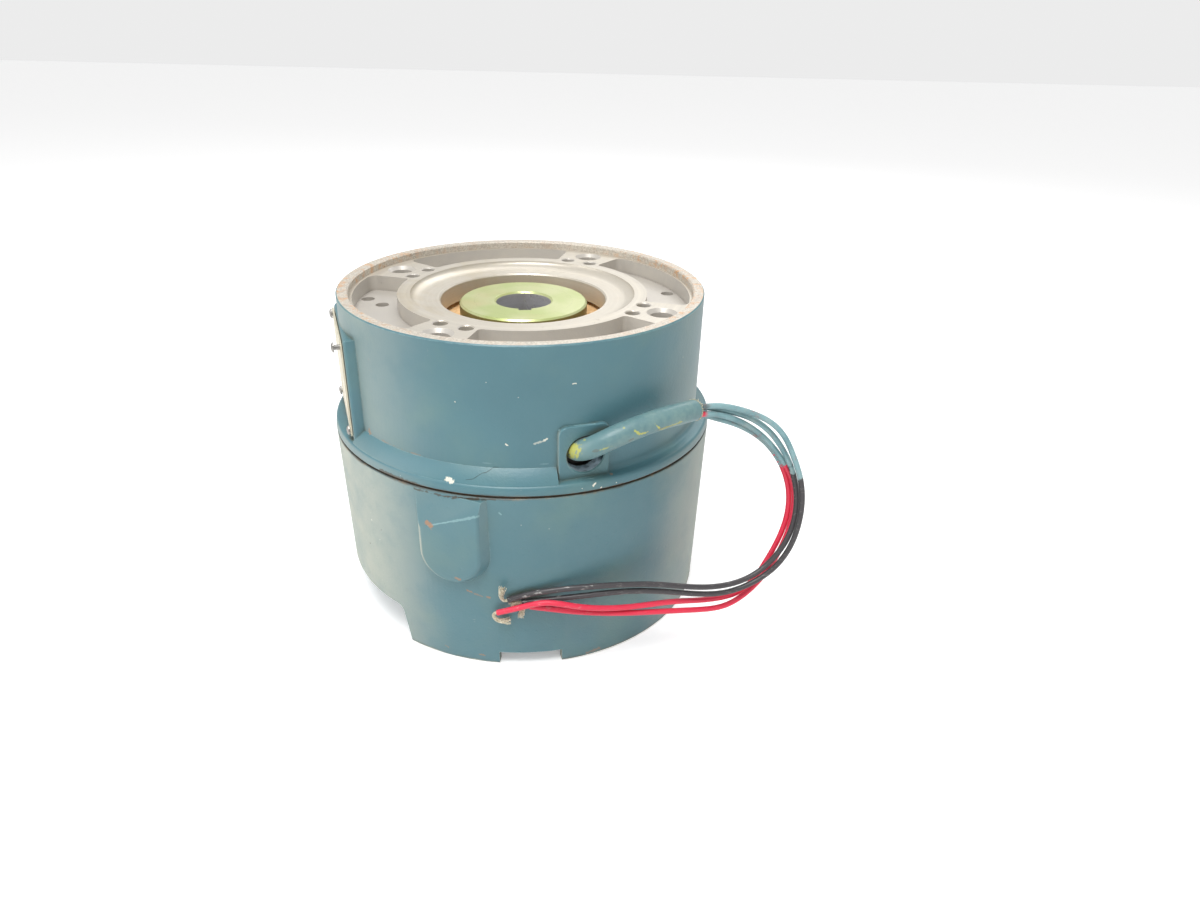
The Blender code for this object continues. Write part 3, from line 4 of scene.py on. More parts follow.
import logging
import math
import random
from dataclasses import dataclass, field
from enum import Enum, IntEnum
from typing import Callable, Iterable, Optional, Sequence

import bmesh
import bpy
import numpy as np
from mathutils import Matrix, Vector


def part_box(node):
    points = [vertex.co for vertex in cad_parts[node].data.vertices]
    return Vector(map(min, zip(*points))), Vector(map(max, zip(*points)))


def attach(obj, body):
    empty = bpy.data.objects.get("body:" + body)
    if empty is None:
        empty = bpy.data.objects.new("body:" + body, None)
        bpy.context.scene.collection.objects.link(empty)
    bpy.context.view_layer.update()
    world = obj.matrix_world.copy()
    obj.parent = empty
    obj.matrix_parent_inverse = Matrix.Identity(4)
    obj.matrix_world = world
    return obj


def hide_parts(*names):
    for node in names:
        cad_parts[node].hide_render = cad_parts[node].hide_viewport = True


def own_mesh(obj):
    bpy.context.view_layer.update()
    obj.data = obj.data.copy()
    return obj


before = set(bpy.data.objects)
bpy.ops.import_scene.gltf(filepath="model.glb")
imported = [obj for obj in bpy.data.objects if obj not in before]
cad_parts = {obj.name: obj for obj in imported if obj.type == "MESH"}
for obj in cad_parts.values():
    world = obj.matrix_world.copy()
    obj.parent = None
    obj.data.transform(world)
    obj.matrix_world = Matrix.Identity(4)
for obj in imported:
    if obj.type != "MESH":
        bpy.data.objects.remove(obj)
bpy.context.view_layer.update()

MM = 0.001
DEG = math.pi / 180.0
GAP = 0.3 * MM
CUT = 6.0 * MM  # how far cutting shapes reach past what they cut
LOG = logging.getLogger("brake")

Point = tuple[float, float, float]
Colour = tuple[float, float, float, float]
Outline = list[tuple[float, float]]
Socket = bpy.types.NodeSocket


class Body(Enum):
    """Bodies of the brake that pieces ride on."""

    CASING = "casing"
    ROTOR = "rotor"


class Face(IntEnum):
    """Finishes on one casting, in the order of its material slots."""

    PAINT = 0
    MACHINED = 1
    CAST = 2
    RIM = 3
    LEAD_HOLE = 4


def linear(red: int, green: int, blue: int) -> Colour:
    """Turn an eight bit colour into the linear colour that a shader takes.

    Args:
        red: red, 0 to 255.
        green: green, 0 to 255.
        blue: blue, 0 to 255.

    Returns:
        The linear colour with alpha 1.
    """
    values = []
    for channel in (red, green, blue):
        share = channel / 255.0
        values.append(share / 12.92 if share <= 0.04045 else ((share + 0.055) / 1.055) ** 2.4)
    return (values[0], values[1], values[2], 1.0)


TEAL = linear(80, 124, 134)
TEAL_DEEP = linear(58, 98, 110)
TEAL_GREEN = linear(104, 136, 128)
# Pale teal for worn edges and for painted highlights along edges.
TEAL_WORN_AND_HIGHLIGHT = linear(138, 174, 178)
TEAL_FADED = linear(142, 168, 160)
# Pale dust, also used as painted side light on faces turned left and right.
DUST_AND_SIDE_LIGHT = linear(186, 188, 174)
# Dirt and painted shade for corners.
CREVICE_DIRT_AND_SHADE = linear(92, 92, 74)
JOINT_DIRT = linear(74, 58, 40)
WHITE_CHIP = linear(226, 224, 208)
RUST = linear(166, 128, 100)
CRACK = linear(58, 84, 88)
# Painted highlight for the lead hole's lower lip.
LIP_HIGHLIGHT = linear(214, 232, 246)
YELLOW_JACKET = linear(190, 190, 92)
SLEEVE_CUT = linear(224, 218, 186)
MACHINED = linear(210, 203, 189)
CAST_GREY = linear(194, 189, 181)
SHADE_GREY = linear(156, 150, 143)
DIRT_AND_SHADE = linear(104, 88, 66)
# Dirt, also used as painted shade in the corners of machined faces.
OIL_STAIN = linear(176, 156, 108)
PRIMER_RED = linear(168, 92, 84)


class Graph:
    """A node tree with short ways to add and link nodes."""

    ROW = 12
    SPACING = (180.0, -220.0)

    def __init__(self, tree: bpy.types.NodeTree) -> None:
        """Keep the tree and start its layout."""
        self.tree = tree
        self.column = 0

    def add(self, kind: str, inputs: Optional[dict] = None, **settings: object) -> bpy.types.Node:
        """Add a node.

        Args:
            kind: the node's type name.
            inputs: values or sockets for its inputs, by name or index.
            **settings: the node's own properties.

        Returns:
            The new node.
        """
        node = self.tree.nodes.new(kind)
        for key, value in settings.items():
            setattr(node, key, value)
        for key, value in (inputs or {}).items():
            self.feed(value, node.inputs[key])
        self.column += 1
        across, down = self.SPACING
        node.location = (across * (self.column % self.ROW), down * (self.column // self.ROW))
        return node

    def feed(self, value: object, socket: Socket) -> None:
        """Link a socket, or set a plain value."""
        if isinstance(value, Socket):
            self.tree.links.new(value, socket)
        else:
            socket.default_value = value

    def math(self, operation: str, first: object, second: object = 0.0, clamp: bool = False) -> Socket:
        """Add a Math node and return its result."""
        node = self.add("ShaderNodeMath", {0: first, 1: second}, operation=operation, use_clamp=clamp)
        return node.outputs[0]

    def vector(self, operation: str, first: object, second: object = (0.0, 0.0, 0.0)) -> Socket:
        """Add a Vector Math node and return its vector."""
        return self.add("ShaderNodeVectorMath", {0: first, 1: second}, operation=operation).outputs["Vector"]

    def measure(self, operation: str, first: object, second: object = (0.0, 0.0, 0.0)) -> Socket:
        """Add a Vector Math node and return its value, such as a length or a dot product."""
        return self.add("ShaderNodeVectorMath", {0: first, 1: second}, operation=operation).outputs["Value"]

    def ramp(self, value: object, low: float, high: float, to_low: float = 0.0,
             to_high: float = 1.0) -> Socket:
        """Map a range of values to another with soft ends, clamped."""
        node = self.add(
            "ShaderNodeMapRange", {0: value, 1: low, 2: high, 3: to_low, 4: to_high},
            interpolation_type="SMOOTHSTEP",
        )
        return node.outputs[0]

    def mix(self, share: object, first: object, second: object) -> Socket:
        """Mix two colours."""
        return self.add("ShaderNodeMix", {0: share, 6: first, 7: second}, data_type="RGBA").outputs[2]

    def noise(self, vector: object, scale: object, detail: float = 3.0, roughness: float = 0.5) -> Socket:
        """Add a Noise texture and return its value."""
        node = self.add(
            "ShaderNodeTexNoise",
            {"Vector": vector, "Scale": scale, "Detail": detail, "Roughness": roughness},
        )
        return node.outputs[0]

    def voronoi(self, vector: object, scale: float) -> Socket:
        """Add a Voronoi texture and return the distance from its nearest point."""
        return self.add("ShaderNodeTexVoronoi", {"Vector": vector, "Scale": scale}).outputs[0]

    def place(self) -> Socket:
        """Place of the shaded point in the object's own frame, in metres."""
        return self.add("ShaderNodeTexCoord").outputs["Object"]

    def split(self, vector: object) -> tuple[Socket, ...]:
        """Split a vector into X, Y and Z."""
        return tuple(self.add("ShaderNodeSeparateXYZ", {0: vector}).outputs)


def make_group(name: str, inputs: dict[str, tuple[str, object]], outputs: Sequence[str],
               fill: Callable[[Graph, bpy.types.Node], dict[str, Socket]]) -> bpy.types.NodeTree:
    """Make a shader node group once.

    Args:
        name: the group's name.
        inputs: socket type and default by input name.
        outputs: names of its outputs, each a value.
        fill: a function that adds the nodes, and returns a socket for each output.

    Returns:
        The group's node tree.
    """
    found = bpy.data.node_groups.get(name)
    if found:
        return found
    tree = bpy.data.node_groups.new(name, "ShaderNodeTree")
    for label, (kind, default) in inputs.items():
        socket = tree.interface.new_socket(name=label, in_out="INPUT", socket_type=kind)
        if default is not None:
            socket.default_value = default
    for label in outputs:
        tree.interface.new_socket(name=label, in_out="OUTPUT", socket_type="NodeSocketFloat")
    graph = Graph(tree)
    results = fill(graph, graph.add("NodeGroupInput"))
    end = graph.add("NodeGroupOutput")
    for label, socket in results.items():
        tree.links.new(socket, end.inputs[label])
    return tree


def cast_skin() -> bpy.types.NodeTree:
    """Group: lumpy and grainy height of a cast surface under paint."""
    def fill(graph: Graph, start: bpy.types.Node) -> dict[str, Socket]:
        """Add the group's nodes."""
        place = graph.place()
        lumps = graph.math("MULTIPLY", graph.noise(place, 55.0, 2.0), start.outputs["Lumps"])
        grain = graph.math("MULTIPLY", graph.noise(place, 620.0, 3.0, 0.6), start.outputs["Grain"])
        pits = graph.ramp(graph.voronoi(place, 210.0), 0.05, 0.24)
        sparse = graph.ramp(graph.noise(place, 40.0, 3.0), 0.60, 0.42)
        kept = graph.math("MAXIMUM", pits, sparse)
        holes = graph.math("MULTIPLY", kept, start.outputs["Pits"])
        return {"Height": graph.math("ADD", graph.math("ADD", lumps, grain), holes)}

    return make_group(
        "cast_skin",
        {"Grain": ("NodeSocketFloat", 0.5), "Lumps": ("NodeSocketFloat", 0.5),
         "Pits": ("NodeSocketFloat", 0.2)},
        ("Height",), fill,
    )


def patches() -> bpy.types.NodeTree:
    """Group: a mask of broken patches, such as dust, rust or dirt."""
    def fill(graph: Graph, start: bpy.types.Node) -> dict[str, Socket]:
        """Add the group's nodes."""
        moved = graph.vector("ADD", graph.place(), start.outputs["Shift"])
        wide = graph.noise(moved, start.outputs["Scale"], 4.0, 0.62)
        fine = graph.noise(moved, graph.math("MULTIPLY", start.outputs["Scale"], 7.0))
        both = graph.math("ADD", graph.math("MULTIPLY", wide, 0.72), graph.math("MULTIPLY", fine, 0.28))
        limit = graph.math("SUBTRACT", 0.72, graph.math("MULTIPLY", start.outputs["Amount"], 0.42))
        over = graph.math("SUBTRACT", both, limit)
        return {"Mask": graph.math("MULTIPLY", over, start.outputs["Sharpness"], clamp=True)}

    return make_group(
        "patches",
        {"Scale": ("NodeSocketFloat", 20.0), "Amount": ("NodeSocketFloat", 0.3),
         "Sharpness": ("NodeSocketFloat", 12.0), "Shift": ("NodeSocketVector", None)},
        ("Mask",), fill,
    )


def turning_marks() -> bpy.types.NodeTree:
    """Group: fine rings left by a lathe, round the brake's axis."""
    def fill(graph: Graph, start: bpy.types.Node) -> dict[str, Socket]:
        """Add the group's nodes."""
        x, y, z = graph.split(graph.place())
        flat = graph.add("ShaderNodeCombineXYZ", {0: x, 1: y}).outputs[0]
        line = graph.math("ADD", graph.measure("LENGTH", flat), graph.math("MULTIPLY", z, 0.37))
        rings = graph.add("ShaderNodeCombineXYZ", {0: line}).outputs[0]
        fine = graph.noise(rings, start.outputs["Scale"], 4.0, 0.7)
        wide = graph.noise(rings, graph.math("MULTIPLY", start.outputs["Scale"], 0.12), 2.0)
        return {"Height": fine, "Shade": graph.math("MULTIPLY", graph.math("ADD", fine, wide), 0.5)}

    return make_group("turning_marks", {"Scale": ("NodeSocketFloat", 2600.0)}, ("Height", "Shade"), fill)


def worn_and_lit_edges() -> bpy.types.NodeTree:
    """Group: a mask of worn edges and of painted edge highlights, broken up by noise."""
    def fill(graph: Graph, start: bpy.types.Node) -> dict[str, Socket]:
        """Add the group's nodes."""
        rounded = graph.add("ShaderNodeBevel", {"Radius": start.outputs["Width"]}, samples=4).outputs[0]
        plain = graph.add("ShaderNodeNewGeometry").outputs["Normal"]
        edge = graph.ramp(graph.measure("DOT_PRODUCT", rounded, plain), 0.992, 0.90)
        broken = graph.ramp(graph.noise(graph.place(), 150.0, 4.0, 0.65), 0.36, 0.56)
        return {"Mask": graph.math("MULTIPLY", edge, broken)}

    return make_group("worn_and_lit_edges", {"Width": ("NodeSocketFloat", 0.8 * MM)}, ("Mask",), fill)


def crevice_dirt_and_shade() -> bpy.types.NodeTree:
    """Group: a mask of corners, from ambient occlusion, for dirt and painted shade."""
    def fill(graph: Graph, start: bpy.types.Node) -> dict[str, Socket]:
        """Add the group's nodes."""
        node = graph.add("ShaderNodeAmbientOcclusion", {"Distance": start.outputs["Reach"]}, samples=6)
        return {"Mask": graph.ramp(node.outputs["AO"], 0.86, 0.42)}

    return make_group("crevice_dirt_and_shade", {"Reach": ("NodeSocketFloat", 5.0 * MM)}, ("Mask",), fill)


def line_distance() -> bpy.types.NodeTree:
    """Group: how far the shaded point is from a line between two points."""
    def fill(graph: Graph, start: bpy.types.Node) -> dict[str, Socket]:
        """Add the group's nodes."""
        span = graph.vector("SUBTRACT", start.outputs["End"], start.outputs["Start"])
        away = graph.vector("SUBTRACT", graph.place(), start.outputs["Start"])
        whole = graph.math("MAXIMUM", graph.measure("DOT_PRODUCT", span, span), 1e-10)
        share = graph.math("DIVIDE", graph.measure("DOT_PRODUCT", away, span), whole, clamp=True)
        scaled = graph.add("ShaderNodeVectorMath", {0: span, "Scale": share}, operation="SCALE")
        return {"Distance": graph.measure("DISTANCE", away, scaled.outputs["Vector"])}

    return make_group(
        "line_distance", {"Start": ("NodeSocketVector", None), "End": ("NodeSocketVector", None)},
        ("Distance",), fill,
    )


@dataclass(frozen=True)
class Mark:
    """A mark seen in the photograph: a spot, or a line where it has an end, in millimetres."""

    start: Point
    reach: float
    end: Optional[Point] = None
    strength: float = 1.0


@dataclass(frozen=True)
class Layer:
    """Marks of one colour, with how ragged their edges are."""

    tint: Colour
    marks: tuple[Mark, ...]
    ragged: float = 2.4
    grain: float = 700.0


class Finish:
    """A material under construction: its graph and its Principled shader."""

    def __init__(self, name: str, roughness: float, metallic: float = 0.0) -> None:
        """Start a material with a Principled shader."""
        self.material = bpy.data.materials.new(name)
        self.material.use_nodes = True
        self.graph = Graph(self.material.node_tree)
        self.shader = self.material.node_tree.nodes["Principled BSDF"]
        self.shader.inputs["Roughness"].default_value = roughness
        self.shader.inputs["Metallic"].default_value = metallic

    def group(self, tree: bpy.types.NodeTree, **inputs: object) -> bpy.types.Node:
        """Place a node group with its own values."""
        node = self.graph.add("ShaderNodeGroup")
        node.node_tree = tree
        for label, value in inputs.items():
            self.graph.feed(value, node.inputs[label])
        return node

    def patch(self, scale: float, amount: float, sharpness: float, shift: Point = (0.0, 0.0, 0.0)) -> Socket:
        """A mask of broken patches."""
        return self.group(patches(), Scale=scale, Amount=amount, Sharpness=sharpness, Shift=shift).outputs[0]

    def blotch(self, colour: object, tint: Colour, strength: float, patch: tuple[float, float, float],
               shift: Point = (0.0, 0.0, 0.0)) -> Socket:
        """Lay broken patches of a tint over the colour so far.

        Args:
            colour: the colour so far.
            tint: the patches' colour.
            strength: how much of the tint they take.
            patch: their scale, amount and sharpness.
            shift: where their pattern is moved to, so that two layers differ.

        Returns:
            The colour with the patches on it.
        """
        return self.graph.mix(self.graph.math("MULTIPLY", self.patch(*patch, shift), strength), colour, tint)

    def bump(self, height: object, distance: float) -> None:
        """Feed a height to the shader's normal."""
        node = self.graph.add("ShaderNodeBump", {"Height": height, "Distance": distance})
        self.graph.feed(node.outputs["Normal"], self.shader.inputs["Normal"])

    def colour(self, socket: object) -> None:
        """Feed the base colour."""
        self.graph.feed(socket, self.shader.inputs["Base Color"])

    def rough(self, socket: object) -> None:
        """Feed the roughness."""
        self.graph.feed(socket, self.shader.inputs["Roughness"])

    def lay(self, colour: Socket, layer: Layer) -> Socket:
        """Lay one colour's marks over the colour so far.

        Args:
            colour: the colour so far.
            layer: the marks.

        Returns:
            The colour with the marks on it.
        """
        graph = self.graph
        ragged = graph.math("SUBTRACT", graph.noise(graph.place(), layer.grain, 3.0, 0.7), 0.5)
        covered: object = 0.0
        for mark in layer.marks:
            start = tuple(value * MM for value in mark.start)
            end = tuple(value * MM for value in mark.end or mark.start)
            away = self.group(line_distance(), Start=start, End=end).outputs[0]
            edge = graph.math("ADD", away, graph.math("MULTIPLY", ragged, layer.ragged * mark.reach * MM))
            spot = graph.ramp(edge, mark.reach * MM, mark.reach * 0.6 * MM, 0.0, mark.strength)
            covered = graph.math("MAXIMUM", covered, spot)
        return graph.mix(covered, colour, layer.tint)


@dataclass(frozen=True)
class Paint:
    """Teal enamel over a casting, with dust, worn edges, dirt in the corners and the marks of use, and
    painted light: pale sheen on the sides, pale edge highlights and shade in the corners.
    """

    name: str
    # Strength of the side dust, together with the painted side light on faces turned left and right.
    dust: float = 0.6
    grain: float = 0.3
    lumps: float = 0.5
    pits: float = 0.1
    # Strength of the worn edges and their painted edge highlights.
    edge_wear_and_highlight: float = 0.55
    joint: Optional[float] = None
    bare_foot: bool = False
    fade: float = 0.0
    layers: tuple[Layer, ...] = ()

    def base(self, finish: Finish) -> Socket:
        """Teal with slow changes of tone."""
        graph = finish.graph
        place = graph.place()
        deep = graph.ramp(graph.noise(place, 9.0, 3.0), 0.35, 0.65, 0.0, 0.30)
        elsewhere = graph.vector("ADD", place, (0.3, 0.1, 0.5))
        green = graph.ramp(graph.noise(elsewhere, 16.0, 4.0), 0.46, 0.70, 0.0, 0.45)
        colour = graph.mix(green, graph.mix(deep, TEAL, TEAL_DEEP), TEAL_GREEN)
        if not self.fade:
            return colour
        faded = graph.math("MULTIPLY", finish.patch(55.0, 0.62, 3.0, (0.2, 0.6, 0.1)), self.fade)
        return graph.mix(faded, graph.mix(0.25, colour, TEAL_FADED), TEAL_FADED)

    def dust_and_side_light_mask(self, finish: Finish) -> Socket:
        """Where dust dulls the paint and painted side light pales it: most on faces turned to the left, some
        on faces turned to the right, a film elsewhere.
        """
        graph = finish.graph
        normal = graph.add("ShaderNodeTexCoord").outputs["Normal"]
        left = graph.ramp(graph.measure("DOT_PRODUCT", normal, (-0.97, -0.24, 0.0)), 0.56, 1.0, 0.06, 0.86)
        right = graph.ramp(graph.split(normal)[0], 0.5, 0.96, 0.0, 0.7)
        broken = graph.ramp(graph.noise(graph.place(), 34.0, 5.0, 0.62), 0.28, 0.62, 0.66, 1.0)
        side = graph.math("MULTIPLY", graph.math("MAXIMUM", left, right), broken)
        return graph.math("MULTIPLY", side, self.dust)

    def joint_dirt(self, finish: Finish, colour: Socket) -> Socket:
        """Brown dirt and rust along the joint between the castings."""
        graph = finish.graph
        z = graph.split(graph.place())[2]
        away = graph.math("ABSOLUTE", graph.math("SUBTRACT", z, self.joint))
        wander = graph.math("MULTIPLY", graph.noise(graph.place(), 60.0, 4.0), 2.4 * MM)
        close = graph.ramp(graph.math("ADD", away, wander), 2.5 * MM, 1.1 * MM, 0.0, 0.7)
        colour = graph.mix(close, colour, JOINT_DIRT)
        broken = finish.patch(90.0, 0.50, 5.0, (0.1, 0.7, 0.2))
        film = graph.math("MULTIPLY", graph.ramp(away, 2.2 * MM, 0.4 * MM), broken)
        return graph.mix(graph.math("MULTIPLY", film, 0.5), colour, linear(158, 128, 92))

    def build(self) -> bpy.types.Material:
        """Build the material."""
        finish = Finish(self.name, 0.42)
        graph = finish.graph
        colour = self.base(finish)
        # Worn edges with painted edge highlights: every sharp edge is made a paler teal.
        edges = finish.group(worn_and_lit_edges(), Width=0.9 * MM).outputs[0]
        colour = graph.mix(graph.math("MULTIPLY", edges, self.edge_wear_and_highlight), colour, TEAL_WORN_AND_HIGHLIGHT)
        # Dust with painted side light: paler and rougher on faces turned left, and on faces turned right.
        dusty_and_lit = self.dust_and_side_light_mask(finish)
        colour = graph.mix(dusty_and_lit, colour, DUST_AND_SIDE_LIGHT)
        # Dirt with painted shade in corners: darker where ambient occlusion finds nearby surfaces.
        corner = finish.group(crevice_dirt_and_shade(), Reach=4.5 * MM).outputs[0]
        uneven = graph.ramp(graph.noise(graph.place(), 60.0, 4.0), 0.32, 0.6, 0.25, 0.8)
        grime_and_shade = graph.math("MULTIPLY", corner, uneven)
        colour = graph.mix(grime_and_shade, colour, CREVICE_DIRT_AND_SHADE)
        colour = finish.blotch(colour, DUST_AND_SIDE_LIGHT, 0.45, (190.0, 0.10, 20.0), (0.4, 0.0, 0.3))
        colour = finish.blotch(colour, DIRT_AND_SHADE, 0.6, (210.0, 0.04, 22.0), (0.9, 0.4, 0.1))
        if self.joint is not None:
            colour = self.joint_dirt(finish, colour)
        for layer in self.layers:
            colour = finish.lay(colour, layer)
        # Pale bare metal along the foot, in the dust colour.
        if self.bare_foot:
            z = graph.split(graph.place())[2]
            wander = graph.math("MULTIPLY", graph.noise(graph.place(), 70.0, 4.0), 2.2 * MM)
            colour = graph.mix(graph.ramp(graph.math("ADD", z, wander), 2.3 * MM, 1.5 * MM), colour, DUST_AND_SIDE_LIGHT)
        finish.colour(colour)
        finish.rough(graph.math("ADD", graph.math("MULTIPLY", dusty_and_lit, 0.3), 0.36))
        skin = finish.group(cast_skin(), Grain=self.grain, Lumps=self.lumps, Pits=self.pits).outputs[0]
        finish.bump(skin, 0.35 * MM)
        return finish.material


@dataclass(frozen=True)
class HoleWall:
    """Wall of the lead hole: paint blown a little way in and bare behind it, with a painted highlight on the
    lower lip and near-black painted shade deeper in and higher up.
    """

    name: str = "lead_hole_wall"
    angle: float = 286.0 * DEG
    painted_from: float = 108.0 * MM

    def build(self) -> bpy.types.Material:
        """Build the material."""
        finish = Finish(self.name, 0.3)
        graph = finish.graph
        place = graph.place()
        out = graph.measure("DOT_PRODUCT", place, (math.cos(self.angle), math.sin(self.angle), 0.0))
        wander = graph.math("MULTIPLY", graph.math("SUBTRACT", graph.noise(place, 130.0, 3.0), 0.5), 3.0 * MM)
        painted = graph.ramp(graph.math("ADD", out, wander), self.painted_from, self.painted_from + 1.2 * MM)
        # Painted highlight: bright blotches on the lower lip.
        highlight_patches = graph.ramp(graph.noise(place, 260.0, 4.0), 0.40, 0.58, 0.55, 1.0)
        low = graph.ramp(graph.split(place)[2], 138.0 * MM, 134.0 * MM)
        lip = graph.math("MULTIPLY", highlight_patches, low)
        # Painted shade: the wall darkens higher up and turns near-black where the paint ends.
        painted_and_lit = graph.math("MULTIPLY", painted, graph.ramp(low, 0.0, 1.0, 0.35, 1.0))
        finish.colour(graph.mix(painted_and_lit, linear(14, 13, 12), graph.mix(lip, TEAL_DEEP, LIP_HIGHLIGHT)))
        finish.bump(graph.noise(place, 300.0, 3.0), 0.3 * MM)
        return finish.material


@dataclass(frozen=True)
class Machined:
    """Turned bare metal with rings and stains, and dirt with painted shade in its corners."""

    name: str = "machined_face"
    tint: Colour = MACHINED
    roughness: float = 0.36
    metallic: float = 0.4
    stained: float = 1.0

    def build(self) -> bpy.types.Material:
        """Build the material."""
        finish = Finish(self.name, self.roughness, self.metallic)
        graph = finish.graph
        place = graph.place()
        marks = finish.group(turning_marks(), Scale=2600.0)
        shade = graph.ramp(marks.outputs["Shade"], 0.3, 0.7, 0.0, 0.4)
        colour = graph.mix(shade, self.tint, SHADE_GREY)
        warm = graph.ramp(graph.split(place)[0], 30.0 * MM, -70.0 * MM, 0.25, 0.75 * self.stained)
        oily = graph.math("MULTIPLY", finish.patch(20.0, 0.55, 2.6), warm)
        colour = graph.mix(oily, colour, OIL_STAIN)
        colour = finish.blotch(colour, DIRT_AND_SHADE, 0.4 * self.stained, (150.0, 0.22, 9.0), (0.2, 0.9, 0.0))
        # Dirt with painted shade in the corners.
        corner = finish.group(crevice_dirt_and_shade(), Reach=2.5 * MM).outputs[0]
        finish.colour(graph.mix(graph.math("MULTIPLY", corner, 0.35 * self.stained), colour, DIRT_AND_SHADE))
        uneven = graph.math("MULTIPLY", graph.noise(place, 90.0), 0.22)
        finish.rough(graph.math("ADD", uneven, self.roughness - 0.1))
        finish.bump(marks.outputs["Height"], 0.02 * MM)
        return finish.material


@dataclass(frozen=True)
class RustyRim:
    """Bare rim in pale grey, speckled, with flecks of orange rust that gather at the left and right."""

    name: str = "rusty_rim"

    def build(self) -> bpy.types.Material:
        """Build the material."""
        finish = Finish(self.name, 0.5, 0.2)
        graph = finish.graph
        place = graph.place()
        speckle = graph.ramp(graph.noise(place, 900.0, 4.0, 0.7), 0.40, 0.64)
        colour = graph.mix(speckle, linear(208, 201, 188), linear(176, 168, 156))
        colour = finish.blotch(colour, linear(188, 168, 150), 0.6, (110.0, 0.50, 7.0), (0.5, 0.2, 0.0))
        side = graph.ramp(graph.math("ABSOLUTE", graph.split(place)[0]), 40.0 * MM, 100.0 * MM, 0.15, 1.0)
        flecks = graph.math("MULTIPLY", finish.patch(190.0, 0.50, 9.0, (0.3, 0.3, 0.9)), side)
        colour = graph.mix(graph.math("MULTIPLY", flecks, 0.8), colour, linear(206, 154, 100))
        dark = graph.math("MULTIPLY", finish.patch(280.0, 0.30, 12.0, (0.1, 0.8, 0.4)), side)
        finish.colour(graph.mix(graph.math("MULTIPLY", dark, 0.7), colour, linear(128, 96, 68)))
        finish.bump(graph.noise(place, 380.0, 4.0), 0.18 * MM)
        return finish.material


@dataclass(frozen=True)
class BareCast:
    """Unpainted cast metal, as in the pockets, with painted shade in its corners."""

    name: str = "bare_cast"

    def build(self) -> bpy.types.Material:
        """Build the material."""
        finish = Finish(self.name, 0.42, 0.25)
        graph = finish.graph
        colour = finish.blotch(CAST_GREY, MACHINED, 0.7, (30.0, 0.6, 2.5))
        colour = finish.blotch(colour, SHADE_GREY, 0.5, (260.0, 0.20, 12.0), (0.6, 0.1, 0.0))
        # Painted shade in the corners: darker grey where ambient occlusion finds nearby surfaces.
        corner = finish.group(crevice_dirt_and_shade(), Reach=4.0 * MM).outputs[0]
        finish.colour(graph.mix(graph.math("MULTIPLY", corner, 0.5), colour, SHADE_GREY))
        skin = finish.group(cast_skin(), Grain=0.35, Lumps=0.5, Pits=0.12).outputs[0]
        finish.bump(skin, 0.3 * MM)
        return finish.material


@dataclass(frozen=True)
class ZincPlate:
    """Yellow passivated zinc: pale yellow green on top, with olive and straw bands, and painted shade that
    turns the upright sides a darker olive.
    """

    name: str = "zinc_plate"

    def build(self) -> bpy.types.Material:
        """Build the material."""
        finish = Finish(self.name, 0.3, 0.55)
        graph = finish.graph
        place = graph.place()
        tone = graph.ramp(graph.noise(place, 34.0, 3.0), 0.36, 0.64)
        colour = graph.mix(tone, linear(204, 209, 158), linear(186, 198, 130))
        elsewhere = graph.vector("ADD", place, (0.0, 0.4, 0.2))
        straw = graph.ramp(graph.noise(elsewhere, 22.0, 3.0), 0.50, 0.72, 0.0, 0.55)
        colour = graph.mix(straw, colour, linear(206, 190, 140))
        # Painted shade: upright faces turn a darker olive than level ones.
        level = graph.math("ABSOLUTE", graph.split(graph.add("ShaderNodeNewGeometry").outputs["Normal"])[2])
        colour = graph.mix(graph.ramp(level, 0.75, 0.25, 0.0, 0.85), colour, linear(142, 128, 74))
        finish.colour(finish.blotch(colour, linear(150, 142, 96), 0.5, (200.0, 0.14, 14.0)))
        marks = finish.group(turning_marks(), Scale=3200.0)
        finish.rough(graph.ramp(marks.outputs["Shade"], 0.3, 0.7, 0.26, 0.36))
        finish.bump(marks.outputs["Height"], 0.004 * MM)
        return finish.material


@dataclass(frozen=True)
class Plain:
    """A simple mottled finish for small or inner pieces."""

    name: str
    tint: Colour
    shade: Colour
    roughness: float
    metallic: float = 0.0
    scale: float = 120.0
    depth: float = 0.05 * MM

    def build(self) -> bpy.types.Material:
        """Build the material."""
        finish = Finish(self.name, self.roughness, self.metallic)
        graph = finish.graph
        place = graph.place()
        tone = graph.ramp(graph.noise(place, self.scale, 4.0), 0.35, 0.68)
        finish.colour(graph.mix(tone, self.tint, self.shade))
        finish.rough(graph.math("ADD", graph.math("MULTIPLY", tone, 0.15), self.roughness - 0.05))
        finish.bump(graph.noise(place, self.scale * 5.0, 3.0), self.depth)
        return finish.material


